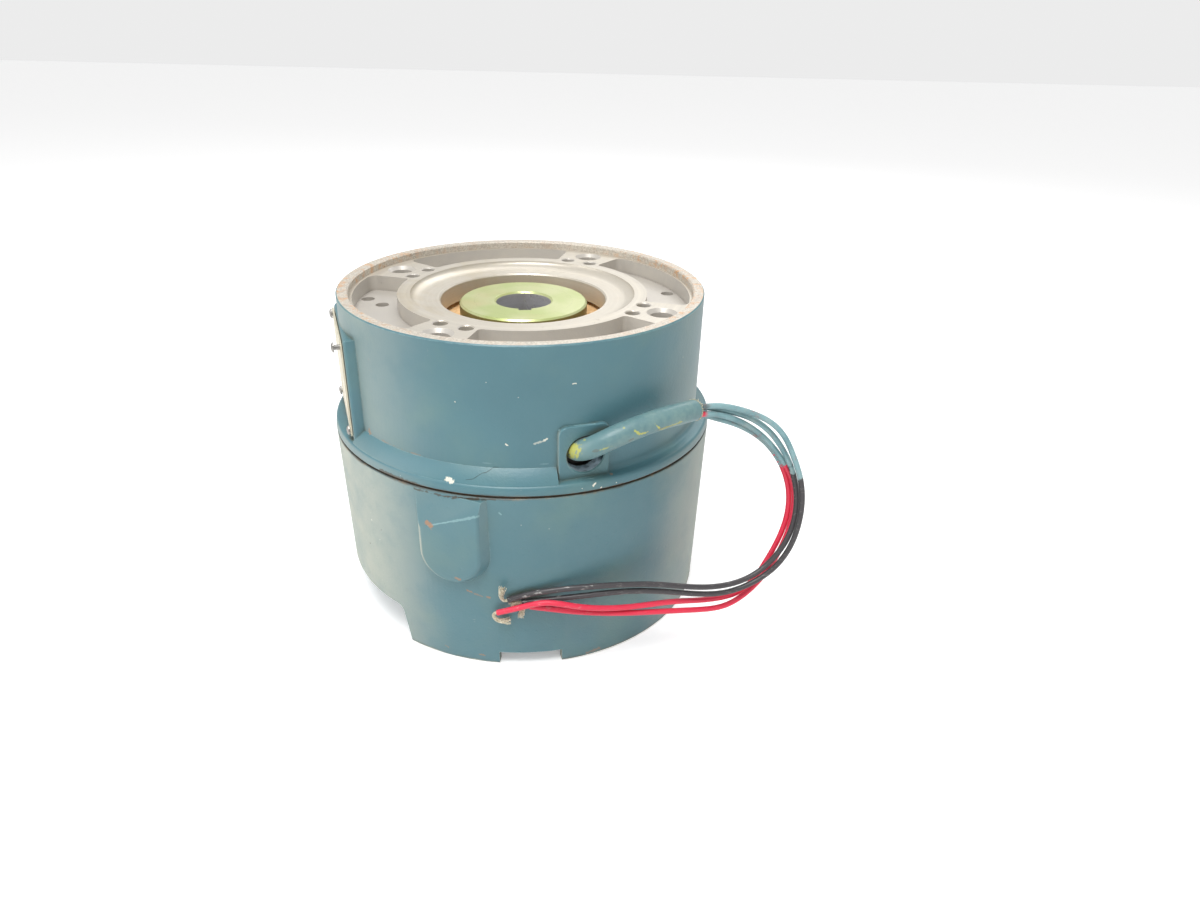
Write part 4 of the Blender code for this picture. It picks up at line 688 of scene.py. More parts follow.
@dataclass(frozen=True)
class LeadCoat:
    """Lead insulation in its own colour, overpainted teal from the sleeve to a ragged edge."""

    name: str
    tint: Colour
    scuff: float = 0.0
    sleeve_mouth: Point = (97.7, -88.8, 157.2)

    def build(self) -> bpy.types.Material:
        """Build the material."""
        finish = Finish(self.name, 0.36)
        graph = finish.graph
        place = graph.place()
        x, _, z = graph.split(place)
        uneven = graph.math("SUBTRACT", graph.noise(place, 110.0, 3.0), 0.5)
        wander = graph.math("MULTIPLY", uneven, 40.0 * MM)
        painted = graph.ramp(graph.math("ADD", z, wander), 114.0 * MM, 117.0 * MM)
        away = graph.measure("DISTANCE", place, tuple(value * MM for value in self.sleeve_mouth))
        shaded = graph.ramp(graph.math("ADD", away, graph.math("MULTIPLY", wander, 0.2)), 6.0 * MM, 9.0 * MM)
        painted = graph.math("MULTIPLY", painted, shaded)
        coat = graph.mix(graph.ramp(graph.noise(place, 60.0, 3.0), 0.4, 0.65, 0.0, 0.5), TEAL_WORN_AND_HIGHLIGHT, TEAL)
        coat = finish.blotch(coat, linear(168, 170, 160), 0.6, (60.0, 0.6, 4.0), (0.7, 0.2, 0.5))
        coat = finish.blotch(coat, PRIMER_RED, 0.6, (120.0, 0.34, 9.0), (0.3, 0.1, 0.2))
        tails = graph.ramp(x, 62.0 * MM, 20.0 * MM, 0.2, 1.0)
        stretched = graph.vector("MULTIPLY", place, (0.3, 1.0, 1.0))
        scrapes = graph.ramp(graph.noise(stretched, 520.0, 4.0, 0.65), 0.56, 0.68, 0.0, self.scuff)
        bare = graph.mix(graph.math("MULTIPLY", scrapes, tails), self.tint, linear(196, 194, 188))
        finish.colour(graph.mix(painted, bare, coat))
        finish.bump(graph.noise(place, 700.0, 3.0), 0.06 * MM)
        return finish.material


# Shapes

def mesh_from(bm: bmesh.types.BMesh, name: str, angle: float = 30.0 * DEG) -> bpy.types.Mesh:
    """Turn a bmesh into a mesh with outward faces, shaded smooth but for sharp edges."""
    bmesh.ops.recalc_face_normals(bm, faces=bm.faces)
    mesh = bpy.data.meshes.new(name)
    bm.to_mesh(mesh)
    bm.free()
    mesh.shade_smooth()
    mesh.set_sharp_from_angle(angle=angle)
    return mesh


def add_object(name: str, data: bpy.types.ID) -> bpy.types.Object:
    """Add an object to the scene."""
    piece = bpy.data.objects.new(name, data)
    bpy.context.scene.collection.objects.link(piece)
    return piece


def joined(shape: bmesh.types.BMesh, bm: Optional[bmesh.types.BMesh],
           matrix: Optional[Matrix]) -> bmesh.types.BMesh:
    """Move a shape by a matrix, and add it to another bmesh where one is given."""
    if matrix is not None:
        shape.transform(matrix)
    bmesh.ops.recalc_face_normals(shape, faces=shape.faces)
    if bm is None:
        return shape
    copy = {vert: bm.verts.new(vert.co) for vert in shape.verts}
    for face in shape.faces:
        bm.faces.new([copy[vert] for vert in face.verts])
    shape.free()
    return bm


def turned(profile: Sequence[tuple[float, float]], steps: int, bm: Optional[bmesh.types.BMesh] = None,
           matrix: Optional[Matrix] = None) -> bmesh.types.BMesh:
    """Spin a closed profile of (radius, height) points round the Z axis.

    Args:
        profile: the closed profile.
        steps: facets round the circle.
        bm: a bmesh to add the shape to.
        matrix: where the shape goes.

    Returns:
        The bmesh that holds the shape.
    """
    shape = bmesh.new()
    ring = [shape.verts.new((radius, 0.0, height)) for radius, height in profile]
    for first, second in zip(ring, ring[1:] + ring[:1]):
        if first.co.x > 0.0 or second.co.x > 0.0:
            shape.edges.new((first, second))
    bmesh.ops.spin(shape, geom=ring + shape.edges[:], cent=(0.0, 0.0, 0.0), axis=(0.0, 0.0, 1.0),
                   angle=2.0 * math.pi, steps=steps, use_merge=True)
    bmesh.ops.remove_doubles(shape, verts=shape.verts, dist=0.001 * MM)
    return joined(shape, bm, matrix)


def prism(outline: Outline, low: float, high: float, bm: Optional[bmesh.types.BMesh] = None,
          matrix: Optional[Matrix] = None) -> bmesh.types.BMesh:
    """Extrude a closed outline from one height to another."""
    shape = bmesh.new()
    base = shape.faces.new([shape.verts.new((x, y, low)) for x, y in outline])
    raised = bmesh.ops.extrude_face_region(shape, geom=[base])
    tops = [item for item in raised["geom"] if isinstance(item, bmesh.types.BMVert)]
    bmesh.ops.translate(shape, verts=tops, vec=(0.0, 0.0, high - low))
    return joined(shape, bm, matrix)


def wall_frame(angle: float) -> Matrix:
    """Frame of a flat on the wall: X along the wall, Y up and Z straight out from the brake's axis."""
    out = Vector((math.cos(angle), math.sin(angle), 0.0))
    along = Vector((-math.sin(angle), math.cos(angle), 0.0))
    return Matrix((along, Vector((0.0, 0.0, 1.0)), out)).transposed().to_4x4()


def circle(radius: float, steps: int, centre: Sequence[float] = (0.0, 0.0)) -> Outline:
    """Points of a circle."""
    turns = [2.0 * math.pi * step / steps for step in range(steps)]
    return [(centre[0] + radius * math.cos(turn), centre[1] + radius * math.sin(turn)) for turn in turns]


def arc(radius: float, start: float, end: float, steps: int, centre: Sequence[float] = (0.0, 0.0)) -> Outline:
    """Points along an arc, both ends included."""
    turns = [start + (end - start) * step / steps for step in range(steps + 1)]
    return [(centre[0] + radius * math.cos(turn), centre[1] + radius * math.sin(turn)) for turn in turns]


def on_circle(radius: float, angle: float, height: float = 0.0) -> Point:
    """A point at a radius and an angle."""
    return (radius * math.cos(angle), radius * math.sin(angle), height)


def bridge(shape: bmesh.types.BMesh, first: Sequence[bmesh.types.BMVert],
           second: Sequence[bmesh.types.BMVert]) -> None:
    """Close the band between two loops that have as many points."""
    for index in range(len(first)):
        after = (index + 1) % len(first)
        shape.faces.new((first[index], first[after], second[after], second[index]))


def tube(shape: bmesh.types.BMesh, line: np.ndarray, radius: float, sides: int,
         rise: Point) -> list[list[bmesh.types.BMVert]]:
    """Add an open tube along a line.

    Args:
        shape: the bmesh that it's added to.
        line: the tube's centreline.
        radius: the tube's radius.
        sides: facets round it.
        rise: a direction that the line never takes.

    Returns:
        The tube's rings of points, from its start to its end.
    """
    _, side, up = bundle_frames(line, rise)
    rings = [
        [shape.verts.new(Vector(point + right * across + above * height))
         for across, height in circle(radius, sides)]
        for point, right, above in zip(line, side, up)
    ]
    for first, second in zip(rings, rings[1:]):
        bridge(shape, first, second)
    return rings


def round_edges(bm: bmesh.types.BMesh, chooser: Callable[[bmesh.types.BMEdge], bool], width: float,
                segments: int) -> None:
    """Round the edges that a chooser picks."""
    edges = [edge for edge in bm.edges if chooser(edge)]
    bmesh.ops.bevel(bm, geom=edges, offset=width, offset_type="OFFSET", segments=segments, profile=0.5,
                    affect="EDGES", clamp_overlap=True)


class Carving:
    """A body that shapes are joined to and cut from, one after another."""

    SAME_PLACE = 0.01 * MM
    SAME_PLANE = 0.2 * DEG
    SHARP = 28.0 * DEG

    def __init__(self, name: str, bm: bmesh.types.BMesh) -> None:
        """Start from one closed shape."""
        self.piece = add_object(name, mesh_from(bm, name))
        self.tools: list[bpy.types.Object] = []

    def step(self, bm: bmesh.types.BMesh, operation: str = "DIFFERENCE",
             matrix: Optional[Matrix] = None) -> None:
        """Join or cut one shape."""
        tool = add_object(self.piece.name + "_tool", mesh_from(bm, "tool"))
        if matrix is not None:
            tool.matrix_world = matrix
        self.tools.append(tool)
        cut = self.piece.modifiers.new(operation.lower(), "BOOLEAN")
        cut.operation = operation
        cut.solver = "EXACT"
        cut.object = tool

    def finish(self, edge: float, choose: Callable[[float, Vector, Vector], Face],
               materials: Sequence[bpy.types.Material]) -> bpy.types.Object:
        """Apply the steps, soften the edges and give each face its material.

        Args:
            edge: how far sharp edges are rounded.
            choose: gives a face's finish from its corners' mean radius, their mean place and its normal.
            materials: the materials.

        Returns:
            The finished piece.
        """
        bpy.context.view_layer.update()
        evaluated = self.piece.evaluated_get(bpy.context.evaluated_depsgraph_get())
        mesh = bpy.data.meshes.new_from_object(evaluated)
        self.piece.modifiers.clear()
        self.piece.data = mesh
        for tool in self.tools:
            bpy.data.objects.remove(tool, do_unlink=True)
        bm = bmesh.new()
        bm.from_mesh(mesh)
        bmesh.ops.remove_doubles(bm, verts=bm.verts, dist=self.SAME_PLACE)
        bmesh.ops.dissolve_degenerate(bm, edges=bm.edges, dist=self.SAME_PLACE)
        bmesh.ops.dissolve_limit(bm, angle_limit=self.SAME_PLANE, verts=bm.verts, edges=bm.edges)
        mesh.materials.clear()
        for material in materials:
            mesh.materials.append(material)
        for face in bm.faces:
            corners = [vert.co for vert in face.verts]
            reach = sum(math.hypot(corner.x, corner.y) for corner in corners) / len(corners)
            face.material_index = choose(reach, face.calc_center_median(), face.normal)
        bm.to_mesh(mesh)
        bm.free()
        mesh.shade_smooth()
        soft = self.piece.modifiers.new("edges", "BEVEL")
        soft.width = edge
        soft.segments = 2
        soft.limit_method = "ANGLE"
        soft.angle_limit = self.SHARP
        soft.harden_normals = True
        soft.use_clamp_overlap = True
        return self.piece


def show_in_place(piece: bpy.types.Object, body: Body, slot: str, *nodes: str) -> None:
    """Let a piece ride on its body and hide the CAD nodes that it stands for."""
    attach(piece, body.value)
    if nodes:
        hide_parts(*nodes)
    LOG.info("%s rides on %s", piece.name, body.value)


def casing_piece(name: str, shape: bmesh.types.BMesh, material: bpy.types.Material, slot: str,
                 *nodes: str) -> bpy.types.Object:
    """Make a piece of one finish that rides on the casing."""
    piece = add_object(name, mesh_from(shape, name, 60.0 * DEG))
    piece.data.materials.append(material)
    show_in_place(piece, Body.CASING, slot, *nodes)
    return piece


def dress_node(name: str, material: bpy.types.Material) -> None:
    """Give a carried-over CAD node a better material."""
    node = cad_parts[name]
    if not node.material_slots:
        node.data.materials.append(material)
    for slot in node.material_slots:
        slot.material = material
    LOG.info("%s dressed in %s", name, material.name)


@dataclass
class Cover:
    """Lower casting with its notches and boss."""

    height: float = 120.5 * MM
    top_radius: float = 124.0 * MM
    bottom_radius: float = 121.4 * MM
    wall: float = 6.0 * MM
    end_wall: tuple[float, float] = (30.0 * MM, 38.0 * MM)
    front_notch: tuple[float, float, float] = (261.2 * DEG, 279.5 * DEG, 9.0 * MM)
    side_notch: tuple[float, float, float] = (176.0 * DEG, 232.5 * DEG, 26.0 * MM)
    side_notch_slope: float = 3.0 * DEG
    boss_angle: float = 249.5 * DEG
    boss_face: float = 128.3 * MM
    boss_half: float = 18.2 * MM
    boss_flare: float = 0.55
    boss_slope_normal: Point = (-0.105, 0.30, 1.0)
    boss_foot: float = 81.5 * MM
    boss_slope: float = 103.2 * MM
    post_circle: float = 75.0 * MM
    post_radius: float = 9.0 * MM
    screw_hole: float = 4.3 * MM
    lip: float = 1.0 * MM
    steps: int = 192

    def profile(self) -> Outline:
        """Turned profile with rounded lips."""
        bore = self.bottom_radius - self.wall
        upper = self.top_radius - self.wall
        foot = arc(self.lip, -math.pi / 2.0, 0.0, 3, (self.bottom_radius - self.lip, self.lip))
        lip = arc(self.lip, 0.0, math.pi / 2.0, 3, (self.top_radius - self.lip, self.height - self.lip))
        return [(0.0, self.end_wall[0]), (bore, self.end_wall[0]), (bore, 0.0), *foot, *lip,
                (upper, self.height), (bore, self.end_wall[1]), (0.0, self.end_wall[1])]

    def notch(self, start: float, end: float, end_top: float, height: float,
              corner: float) -> bmesh.types.BMesh:
        """A block between two angles that opens the skirt."""
        shape = bmesh.new()
        inner = self.bottom_radius - self.wall - CUT
        outer = self.top_radius + CUT
        steps = 24
        loops = []
        for level, last in ((-CUT, end), (height, end_top)):
            outline = arc(outer, start, last, steps) + arc(inner, last, start, steps)
            loops.append([shape.verts.new((x, y, level)) for x, y in outline])
        shape.faces.new(loops[0])
        shape.faces.new(loops[1])
        bridge(shape, *loops)
        if corner:
            lean = loops[1][steps], loops[1][steps + 1]
            round_edges(shape, lambda edge: edge.verts[0] in lean and edge.verts[1] in lean, corner, 4)
        bmesh.ops.recalc_face_normals(shape, faces=shape.faces)
        return shape

    def boss(self) -> bmesh.types.BMesh:
        """Tongue with a round foot, flared sides and a sloping top."""
        back = self.bottom_radius - self.wall * 0.75
        outline = arc(self.boss_half, math.pi, 2.0 * math.pi, 32, (0.0, self.boss_foot))
        outline += [(self.boss_half, self.height - 1.5 * MM), (-self.boss_half, self.height - 1.5 * MM)]
        boss = prism(outline, back, self.boss_face)
        for vert in boss.verts:
            away = Vector((vert.co.x, min(0.0, vert.co.y - self.boss_foot), 0.0))
            vert.co += away.normalized() * (self.boss_face - vert.co.z) * self.boss_flare
        sliced = bmesh.ops.bisect_plane(
            boss, geom=boss.verts[:] + boss.edges[:] + boss.faces[:],
            plane_co=(0.0, self.boss_slope, self.boss_face), plane_no=self.boss_slope_normal,
            clear_outer=True,
        )
        rim = [item for item in sliced["geom_cut"] if isinstance(item, bmesh.types.BMEdge)]
        bmesh.ops.edgenet_fill(boss, edges=rim)
        bmesh.ops.recalc_face_normals(boss, faces=boss.faces)

        def front_edge(edge: bmesh.types.BMEdge) -> bool:
            """Tell a level, sharp edge of the boss's front."""
            clear = min(vert.co.z for vert in edge.verts) > back + 2.0 * MM
            flat = abs(edge.verts[0].co.z - edge.verts[1].co.z) < 2.0 * MM
            return clear and flat and edge.calc_face_angle(0.0) > 50.0 * DEG

        round_edges(boss, front_edge, 1.6 * MM, 4)
        return boss

    def choose(self, reach: float, centre: Vector, normal: Vector) -> Face:
        """Choose the finish of one face."""
        inside = reach < self.bottom_radius - self.wall + 3.0 * MM and centre.z > self.end_wall[1] - MM
        return Face.MACHINED if inside else Face.PAINT

    def build(self, paint: bpy.types.Material, raw: bpy.types.Material) -> bpy.types.Object:
        """Carve the cover and paint it."""
        carving = Carving("cover_casting", turned(self.profile(), self.steps))
        posts = bmesh.new()
        magnet_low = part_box("magnet_body")[0][2]
        centres = [on_circle(self.post_circle, (45.0 + 90.0 * turn) * DEG) for turn in range(4)]
        for centre in centres:
            prism(circle(self.post_radius, 32, centre), sum(self.end_wall) / 2.0, magnet_low - GAP, posts)
        carving.step(posts, "UNION")
        carving.step(self.boss(), "UNION", wall_frame(self.boss_angle))
        holes = bmesh.new()
        for centre in centres:
            prism(circle(self.screw_hole, 20, centre), self.end_wall[0] - CUT, magnet_low + CUT, holes)
        carving.step(holes)
        start, end, height = self.front_notch
        carving.step(self.notch(start, end, end, height, 0.0))
        start, end, height = self.side_notch
        carving.step(self.notch(start, end, end - self.side_notch_slope, height, 4.0 * MM))
        piece = carving.finish(0.6 * MM, self.choose, (paint, raw))
        show_in_place(piece, Body.CASING, "paint", "cover")
        return piece


@dataclass
class Housing:
    """Upper casting with its machined mounting face."""

    foot: float = 121.6 * MM
    rim: float = 207.0 * MM
    face: float = 202.3 * MM
    wall_radius: float = 115.0 * MM
    cavity_radius: float = 107.5 * MM
    flange_radius: float = 124.0 * MM
    ledge: float = 127.4 * MM
    register: float = 107.95 * MM
    ring_radius: float = 79.0 * MM
    cove: tuple[float, float, float] = (71.0 * MM, 62.0 * MM, 4.3 * MM)
    bore: float = 52.6 * MM
    relief: tuple[float, float] = (58.0 * MM, 2.7 * MM)
    friction: float = 182.8 * MM
    pocket_floor: float = 192.5 * MM
    pocket_radius: float = 106.0 * MM
    pad_span: float = 22.8 * DEG
    pad_angles: tuple[float, ...] = tuple((60.0 + 90.0 * turn) * DEG for turn in range(4))
    lead_angle: float = 286.0 * DEG
    lead_face: float = 117.2 * MM
    lead_hole: tuple[float, float, float] = (0.9 * MM, 141.6 * MM, 11.1 * MM)
    lead_lip: float = 0.8 * MM
    lead_bore_from: float = 100.0 * MM
    plate_angle: float = 194.5 * DEG
    plate_face: float = 115.8 * MM
    plate_half: float = 37.0 * MM
    plate_top: float = 191.5 * MM
    rib: tuple[float, float] = (212.0 * DEG, 278.3 * DEG)
    rib_levels: tuple[float, float, float] = (1.4 * MM, 6.7 * MM, 13.4 * MM)
    mount_circle: float = 95.0 * MM
    mount_hole: tuple[float, float, float] = (7.15 * MM, 2.2 * MM, 15.0 * MM)
    tapped_circle: float = 80.0 * MM
    tapped_hole: tuple[float, float, float] = (4.3 * MM, 0.6 * MM, 12.0 * MM)
    tapped_turn: float = 6.2 * DEG
    pocket_hole: float = 4.2 * MM
    pocket_holes: tuple[tuple[float, float], ...] = (
        (101.0 * MM, 173.0 * DEG), (89.5 * MM, 180.0 * DEG), (100.0 * MM, 13.6 * DEG),
    )
    stud_angles: tuple[float, ...] = tuple((38.0 + 90.0 * turn) * DEG for turn in range(4))
    stud_circle: float = 97.0 * MM
    stud_seat: tuple[float, float] = (4.35 * MM, 7.3 * MM)
    steps: int = 192

    def outside(self) -> Outline:
        """Turned outside, still solid inside."""
        fillet_centre = (self.wall_radius + 3.0 * MM, self.ledge + 3.0 * MM)
        fillet = arc(3.0 * MM, -math.pi / 2.0, -math.pi, 6, fillet_centre)
        top, low, depth = self.cove
        cove = [(top, self.face)] + [
            (top - (top - low) * (1.0 - math.cos(turn)), self.face - depth * math.sin(turn))
            for turn in (math.pi / 16.0 * step for step in range(1, 9))
        ]
        edge = arc(2.0 * MM, 0.0, math.pi / 2.0, 4, (self.flange_radius - 2.4 * MM, self.ledge - 2.0 * MM))
        joint = arc(1.0 * MM, -math.pi / 2.0, 0.0, 3, (self.flange_radius - 1.0 * MM, self.foot + 1.0 * MM))
        return [(0.0, self.foot), *joint, *edge, *fillet, (self.wall_radius, self.rim - 0.7 * MM),
                (self.wall_radius - 0.7 * MM, self.rim), (self.register + 0.8 * MM, self.rim),
                (self.register, self.rim - 0.8 * MM), (self.register, self.face), *cove,
                (0.0, self.face - depth)]

    def inside(self) -> Outline:
        """What is bored out."""
        over = self.face + CUT
        chamfer = self.face - self.cove[2] - 0.9 * MM
        relief = self.friction + self.relief[1]
        return [(0.0, self.foot - CUT), (self.cavity_radius, self.foot - CUT),
                (self.cavity_radius, self.friction), (self.relief[0], self.friction),
                (self.relief[0], relief), (self.bore, relief), (self.bore, chamfer),
                (self.bore + over - chamfer, over), (0.0, over)]

    def rib_shape(self) -> bmesh.types.BMesh:
        """Raised rib on the flange."""
        inside = self.wall_radius - 2.5 * MM
        edge = self.flange_radius - 0.1 * MM
        low, slope, high = (self.foot + level for level in self.rib_levels)
        section = [(inside, low), (edge, low), (edge - 1.8 * MM, slope), (self.wall_radius, high),
                   (inside, high)]
        shape = bmesh.new()
        shape.faces.new([shape.verts.new((radius, 0.0, height)) for radius, height in section])
        bmesh.ops.rotate(shape, verts=shape.verts, cent=(0.0, 0.0, 0.0),
                         matrix=Matrix.Rotation(self.rib[0], 3, "Z"))
        span = self.rib[1] - self.rib[0]
        bmesh.ops.spin(shape, geom=shape.faces[:], cent=(0.0, 0.0, 0.0), axis=(0.0, 0.0, 1.0), angle=span,
                       steps=round(self.steps * span / (2.0 * math.pi)))
        bmesh.ops.recalc_face_normals(shape, faces=shape.faces)
        return shape

    def pad(self, half: float, top: float, face: float, corner: float,
            edge_width: float) -> bmesh.types.BMesh:
        """Flat pad on the wall, in its wall frame."""
        low = self.ledge - 3.0 * MM
        pad = prism([(-half, low), (half, low), (half, top), (-half, top)], self.cavity_radius, face)
        if corner:
            round_edges(pad, lambda edge: min(vert.co.y for vert in edge.verts) > top - MM
                        and abs(edge.verts[0].co.z - edge.verts[1].co.z) > MM, corner, 8)
        round_edges(pad, lambda edge: min(vert.co.z for vert in edge.verts) > face - 0.01 * MM
                    and max(vert.co.y for vert in edge.verts) > low + MM, edge_width, 4)
        return pad

    def pocket(self, middle: float) -> bmesh.types.BMesh:
        """Pocket between two mounting pads."""
        half = (math.pi / 2.0 - self.pad_span) / 2.0
        outline = arc(self.pocket_radius, middle - half, middle + half, 15)
        outline += arc(self.ring_radius, middle + half, middle - half, 15)
        pocket = prism(outline, self.pocket_floor, self.rim + CUT)
        split = (self.pocket_radius + self.ring_radius) / 2.0
        for outer, width, segments in ((True, 6.0 * MM, 6), (False, 2.5 * MM, 4)):
            def upright(edge: bmesh.types.BMEdge, far: bool = outer) -> bool:
                """Tell an upright corner of the far or the near wall."""
                first, second = (vert.co for vert in edge.verts)
                tall = abs(first.z - second.z) > MM
                on_wall = (math.hypot(first.x, first.y) > split) == far
                return tall and on_wall and edge.calc_face_angle(0.0) > 45.0 * DEG

            round_edges(pocket, upright, width, segments)
        return pocket

    def sunk(self, bm: bmesh.types.BMesh, radius: float, sink: float, depth: float, place: Point) -> None:
        """A countersunk hole in the mounting face."""
        over = self.face + CUT
        profile = [(0.0, self.face - depth - radius * 0.5), (radius, self.face - depth),
                   (radius, self.face - sink), (radius + sink, self.face), (radius + sink, over),
                   (0.0, over)]
        turned(profile, 40, bm, Matrix.Translation((place[0], place[1], 0.0)))

    def holes(self) -> bmesh.types.BMesh:
        """Holes of the mounting pads and of the pockets."""
        holes = bmesh.new()
        for angle in self.pad_angles:
            self.sunk(holes, *self.mount_hole, on_circle(self.mount_circle, angle))
            for turn in (-self.tapped_turn, self.tapped_turn):
                self.sunk(holes, *self.tapped_hole, on_circle(self.tapped_circle, angle + turn))
        for radial, angle in self.pocket_holes:
            prism(circle(self.pocket_hole, 32, on_circle(radial, angle)), self.pocket_floor - CUT,
                  self.pocket_floor + CUT, holes)
        return holes

    def seats(self) -> bmesh.types.BMesh:
        """Seats of the guide studs, bored from inside."""
        seats = bmesh.new()
        radius, depth = self.stud_seat
        for angle in self.stud_angles:
            prism(circle(radius, 20, on_circle(self.stud_circle, angle)), self.friction - CUT,
                  self.friction + depth, seats)
        return seats

    def lead_bore(self) -> bmesh.types.BMesh:
        """The lead hole with its broken edge, along Z."""
        radius = self.lead_hole[2]
        mouth = self.lead_face - self.lead_lip
        beyond = self.lead_face + 3.0 * MM
        return turned([(0.0, self.lead_bore_from), (radius, self.lead_bore_from), (radius, mouth),
                       (radius + beyond - mouth, beyond), (0.0, beyond)], 64)

    def choose(self, reach: float, centre: Vector, normal: Vector) -> Face:
        """Choose the finish of one face."""
        to_lead_pad = wall_frame(self.lead_angle).inverted()
        side, height, radius = self.lead_hole
        across, up, out = to_lead_pad @ centre
        from_hole = math.hypot(across - side, up - height)
        facing = (to_lead_pad.to_3x3() @ normal).z
        if out > self.cavity_radius - 8.0 * MM and from_hole < radius + 0.5 * MM and abs(facing) < 0.5:
            return Face.LEAD_HOLE
        if reach > self.wall_radius - 0.75 * MM:
            return Face.PAINT
        if centre.z > self.face + 0.2 * MM:
            return Face.RIM
        in_pocket = self.pocket_floor - 7.0 * MM < centre.z < self.face - 0.2 * MM
        if in_pocket and self.ring_radius - MM < reach < self.pocket_radius + 0.3 * MM:
            return Face.CAST
        return Face.MACHINED

    def build(self, materials: Sequence[bpy.types.Material]) -> bpy.types.Object:
        """Carve the housing and give each face its finish.

        Args:
            materials: the finishes in the order of Face.

        Returns:
            The finished housing.
        """
        carving = Carving("housing_casting", turned(self.outside(), self.steps))
        carving.step(self.rib_shape(), "UNION")
        carving.step(self.pad(self.plate_half, self.plate_top, self.plate_face, 0.0, 2.5 * MM), "UNION",
                     wall_frame(self.plate_angle))
        side, height, _ = self.lead_hole
        lead_pad = self.pad(15.0 * MM, height + 18.1 * MM, self.lead_face, 5.0 * MM, self.lead_lip)
        carving.step(lead_pad, "UNION", wall_frame(self.lead_angle))
        carving.step(turned(self.inside(), 144))
        pockets = bmesh.new()
        for angle in self.pad_angles:
            joined(self.pocket(angle + math.pi / 4.0), pockets, None)
        for cut in (pockets, self.holes(), self.seats()):
            carving.step(cut)
        carving.step(self.lead_bore(), "DIFFERENCE",
                     wall_frame(self.lead_angle) @ Matrix.Translation((side, height, 0.0)))
        piece = carving.finish(0.45 * MM, self.choose, materials)
        show_in_place(piece, Body.CASING, "paint", "housing")
        return piece


@dataclass
class Hub:
    """Plated hub with a keyed bore."""

    collar: float = 40.8 * MM
    chamfer: float = 1.2 * MM
    bore: float = 17.5 * MM
    key_width: float = 8.0 * MM
    key_depth: float = 3.6 * MM
    key_angle: float = 272.0 * DEG
    teeth: int = 18
    tip: float = 40.0 * MM
    root: float = 36.0 * MM
    seat: float = 182.8 * MM

    def choose(self, reach: float, centre: Vector, normal: Vector) -> Face:
        """Choose the finish of one face."""
        limit = self.bore + self.key_depth + 0.3 * MM
        return Face.MACHINED if reach < limit and abs(normal.z) < 0.5 else Face.PAINT

    def build(self, plated: bpy.types.Material, bored: bpy.types.Material) -> bpy.types.Object:
        """Carve the hub and plate it."""
        low, high = (corner[2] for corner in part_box("hub"))
        profile = [(0.0, self.seat), (self.collar, self.seat), (self.collar, high - self.chamfer),
                   (self.collar - self.chamfer, high), (0.0, high)]
        carving = Carving("hub_plated", turned(profile, 160))
        pitch = 2.0 * math.pi / self.teeth
        outline: Outline = []
        for tooth in range(self.teeth):
            middle = tooth * pitch
            for radius, turn in ((self.root, -0.29), (self.tip, -0.20), (self.tip, 0.20), (self.root, 0.29)):
                angle = middle + pitch * turn
                outline.append((radius * math.cos(angle), radius * math.sin(angle)))
        carving.step(prism(outline, low, self.seat + GAP), "UNION")
        half_key = math.asin(self.key_width / 2.0 / self.bore)
        hole = arc(self.bore, half_key, 2.0 * math.pi - half_key, 120)
        key_bottom = self.bore + self.key_depth
        hole += [(key_bottom, -self.key_width / 2.0), (key_bottom, self.key_width / 2.0)]
        carving.step(prism(hole, low - CUT, high + CUT), "DIFFERENCE",
                     Matrix.Rotation(self.key_angle, 4, "Z"))
        mouth = [(0.0, high - self.chamfer), (self.bore, high - self.chamfer),
                 (self.bore + self.chamfer + CUT, high + CUT), (0.0, high + CUT)]
        carving.step(turned(mouth, 120))
        piece = carving.finish(0.25 * MM, self.choose, (plated, bored))
        show_in_place(piece, Body.ROTOR, "zinc", "hub")
        return piece


def smooth_line(points: Iterable[Sequence[float]], spacing: float) -> np.ndarray:
    """Read a natural cubic curve through points at about even spacing.

    Args:
        points: the route's own points.
        spacing: distance between the points that come back.

    Returns:
        The points along the curve.
    """
    points = np.array(list(points), float)
    steps = np.linalg.norm(np.diff(points, axis=0), axis=1)
    along = np.concatenate([[0.0], np.cumsum(steps)])
    count = len(points)
    system = np.eye(count)
    right = np.zeros((count, 3))
    for index in range(1, count - 1):
        before, after = steps[index - 1], steps[index]
        system[index, index - 1:index + 2] = before, 2.0 * (before + after), after
        slopes = (points[index + 1] - points[index]) / after - (points[index] - points[index - 1]) / before
        right[index] = 6.0 * slopes
    bends = np.linalg.solve(system, right)
    line = []
    for place in np.linspace(0.0, along[-1], max(3, round(along[-1] / spacing) + 1)):
        index = min(int(np.searchsorted(along, place, "right")) - 1, count - 2)
        width = steps[index]
        near = (along[index + 1] - place) / width
        far = 1.0 - near
        point = near * points[index] + far * points[index + 1]
        bend = (near**3 - near) * bends[index] + (far**3 - far) * bends[index + 1]
        line.append(point + bend * width**2 / 6.0)
    return np.array(line)


def bundle_frames(line: np.ndarray,
                  rise: Point = (0.0, 0.0, 1.0)) -> tuple[np.ndarray, np.ndarray, np.ndarray]:
    """Direction, sideways and upward unit vectors at each point of a line."""
    along = np.gradient(line, axis=0)
    along /= np.linalg.norm(along, axis=1)[:, None]
    side = np.cross(along, rise)
    side /= np.linalg.norm(side, axis=1)[:, None]
    return along, side, np.cross(side, along)


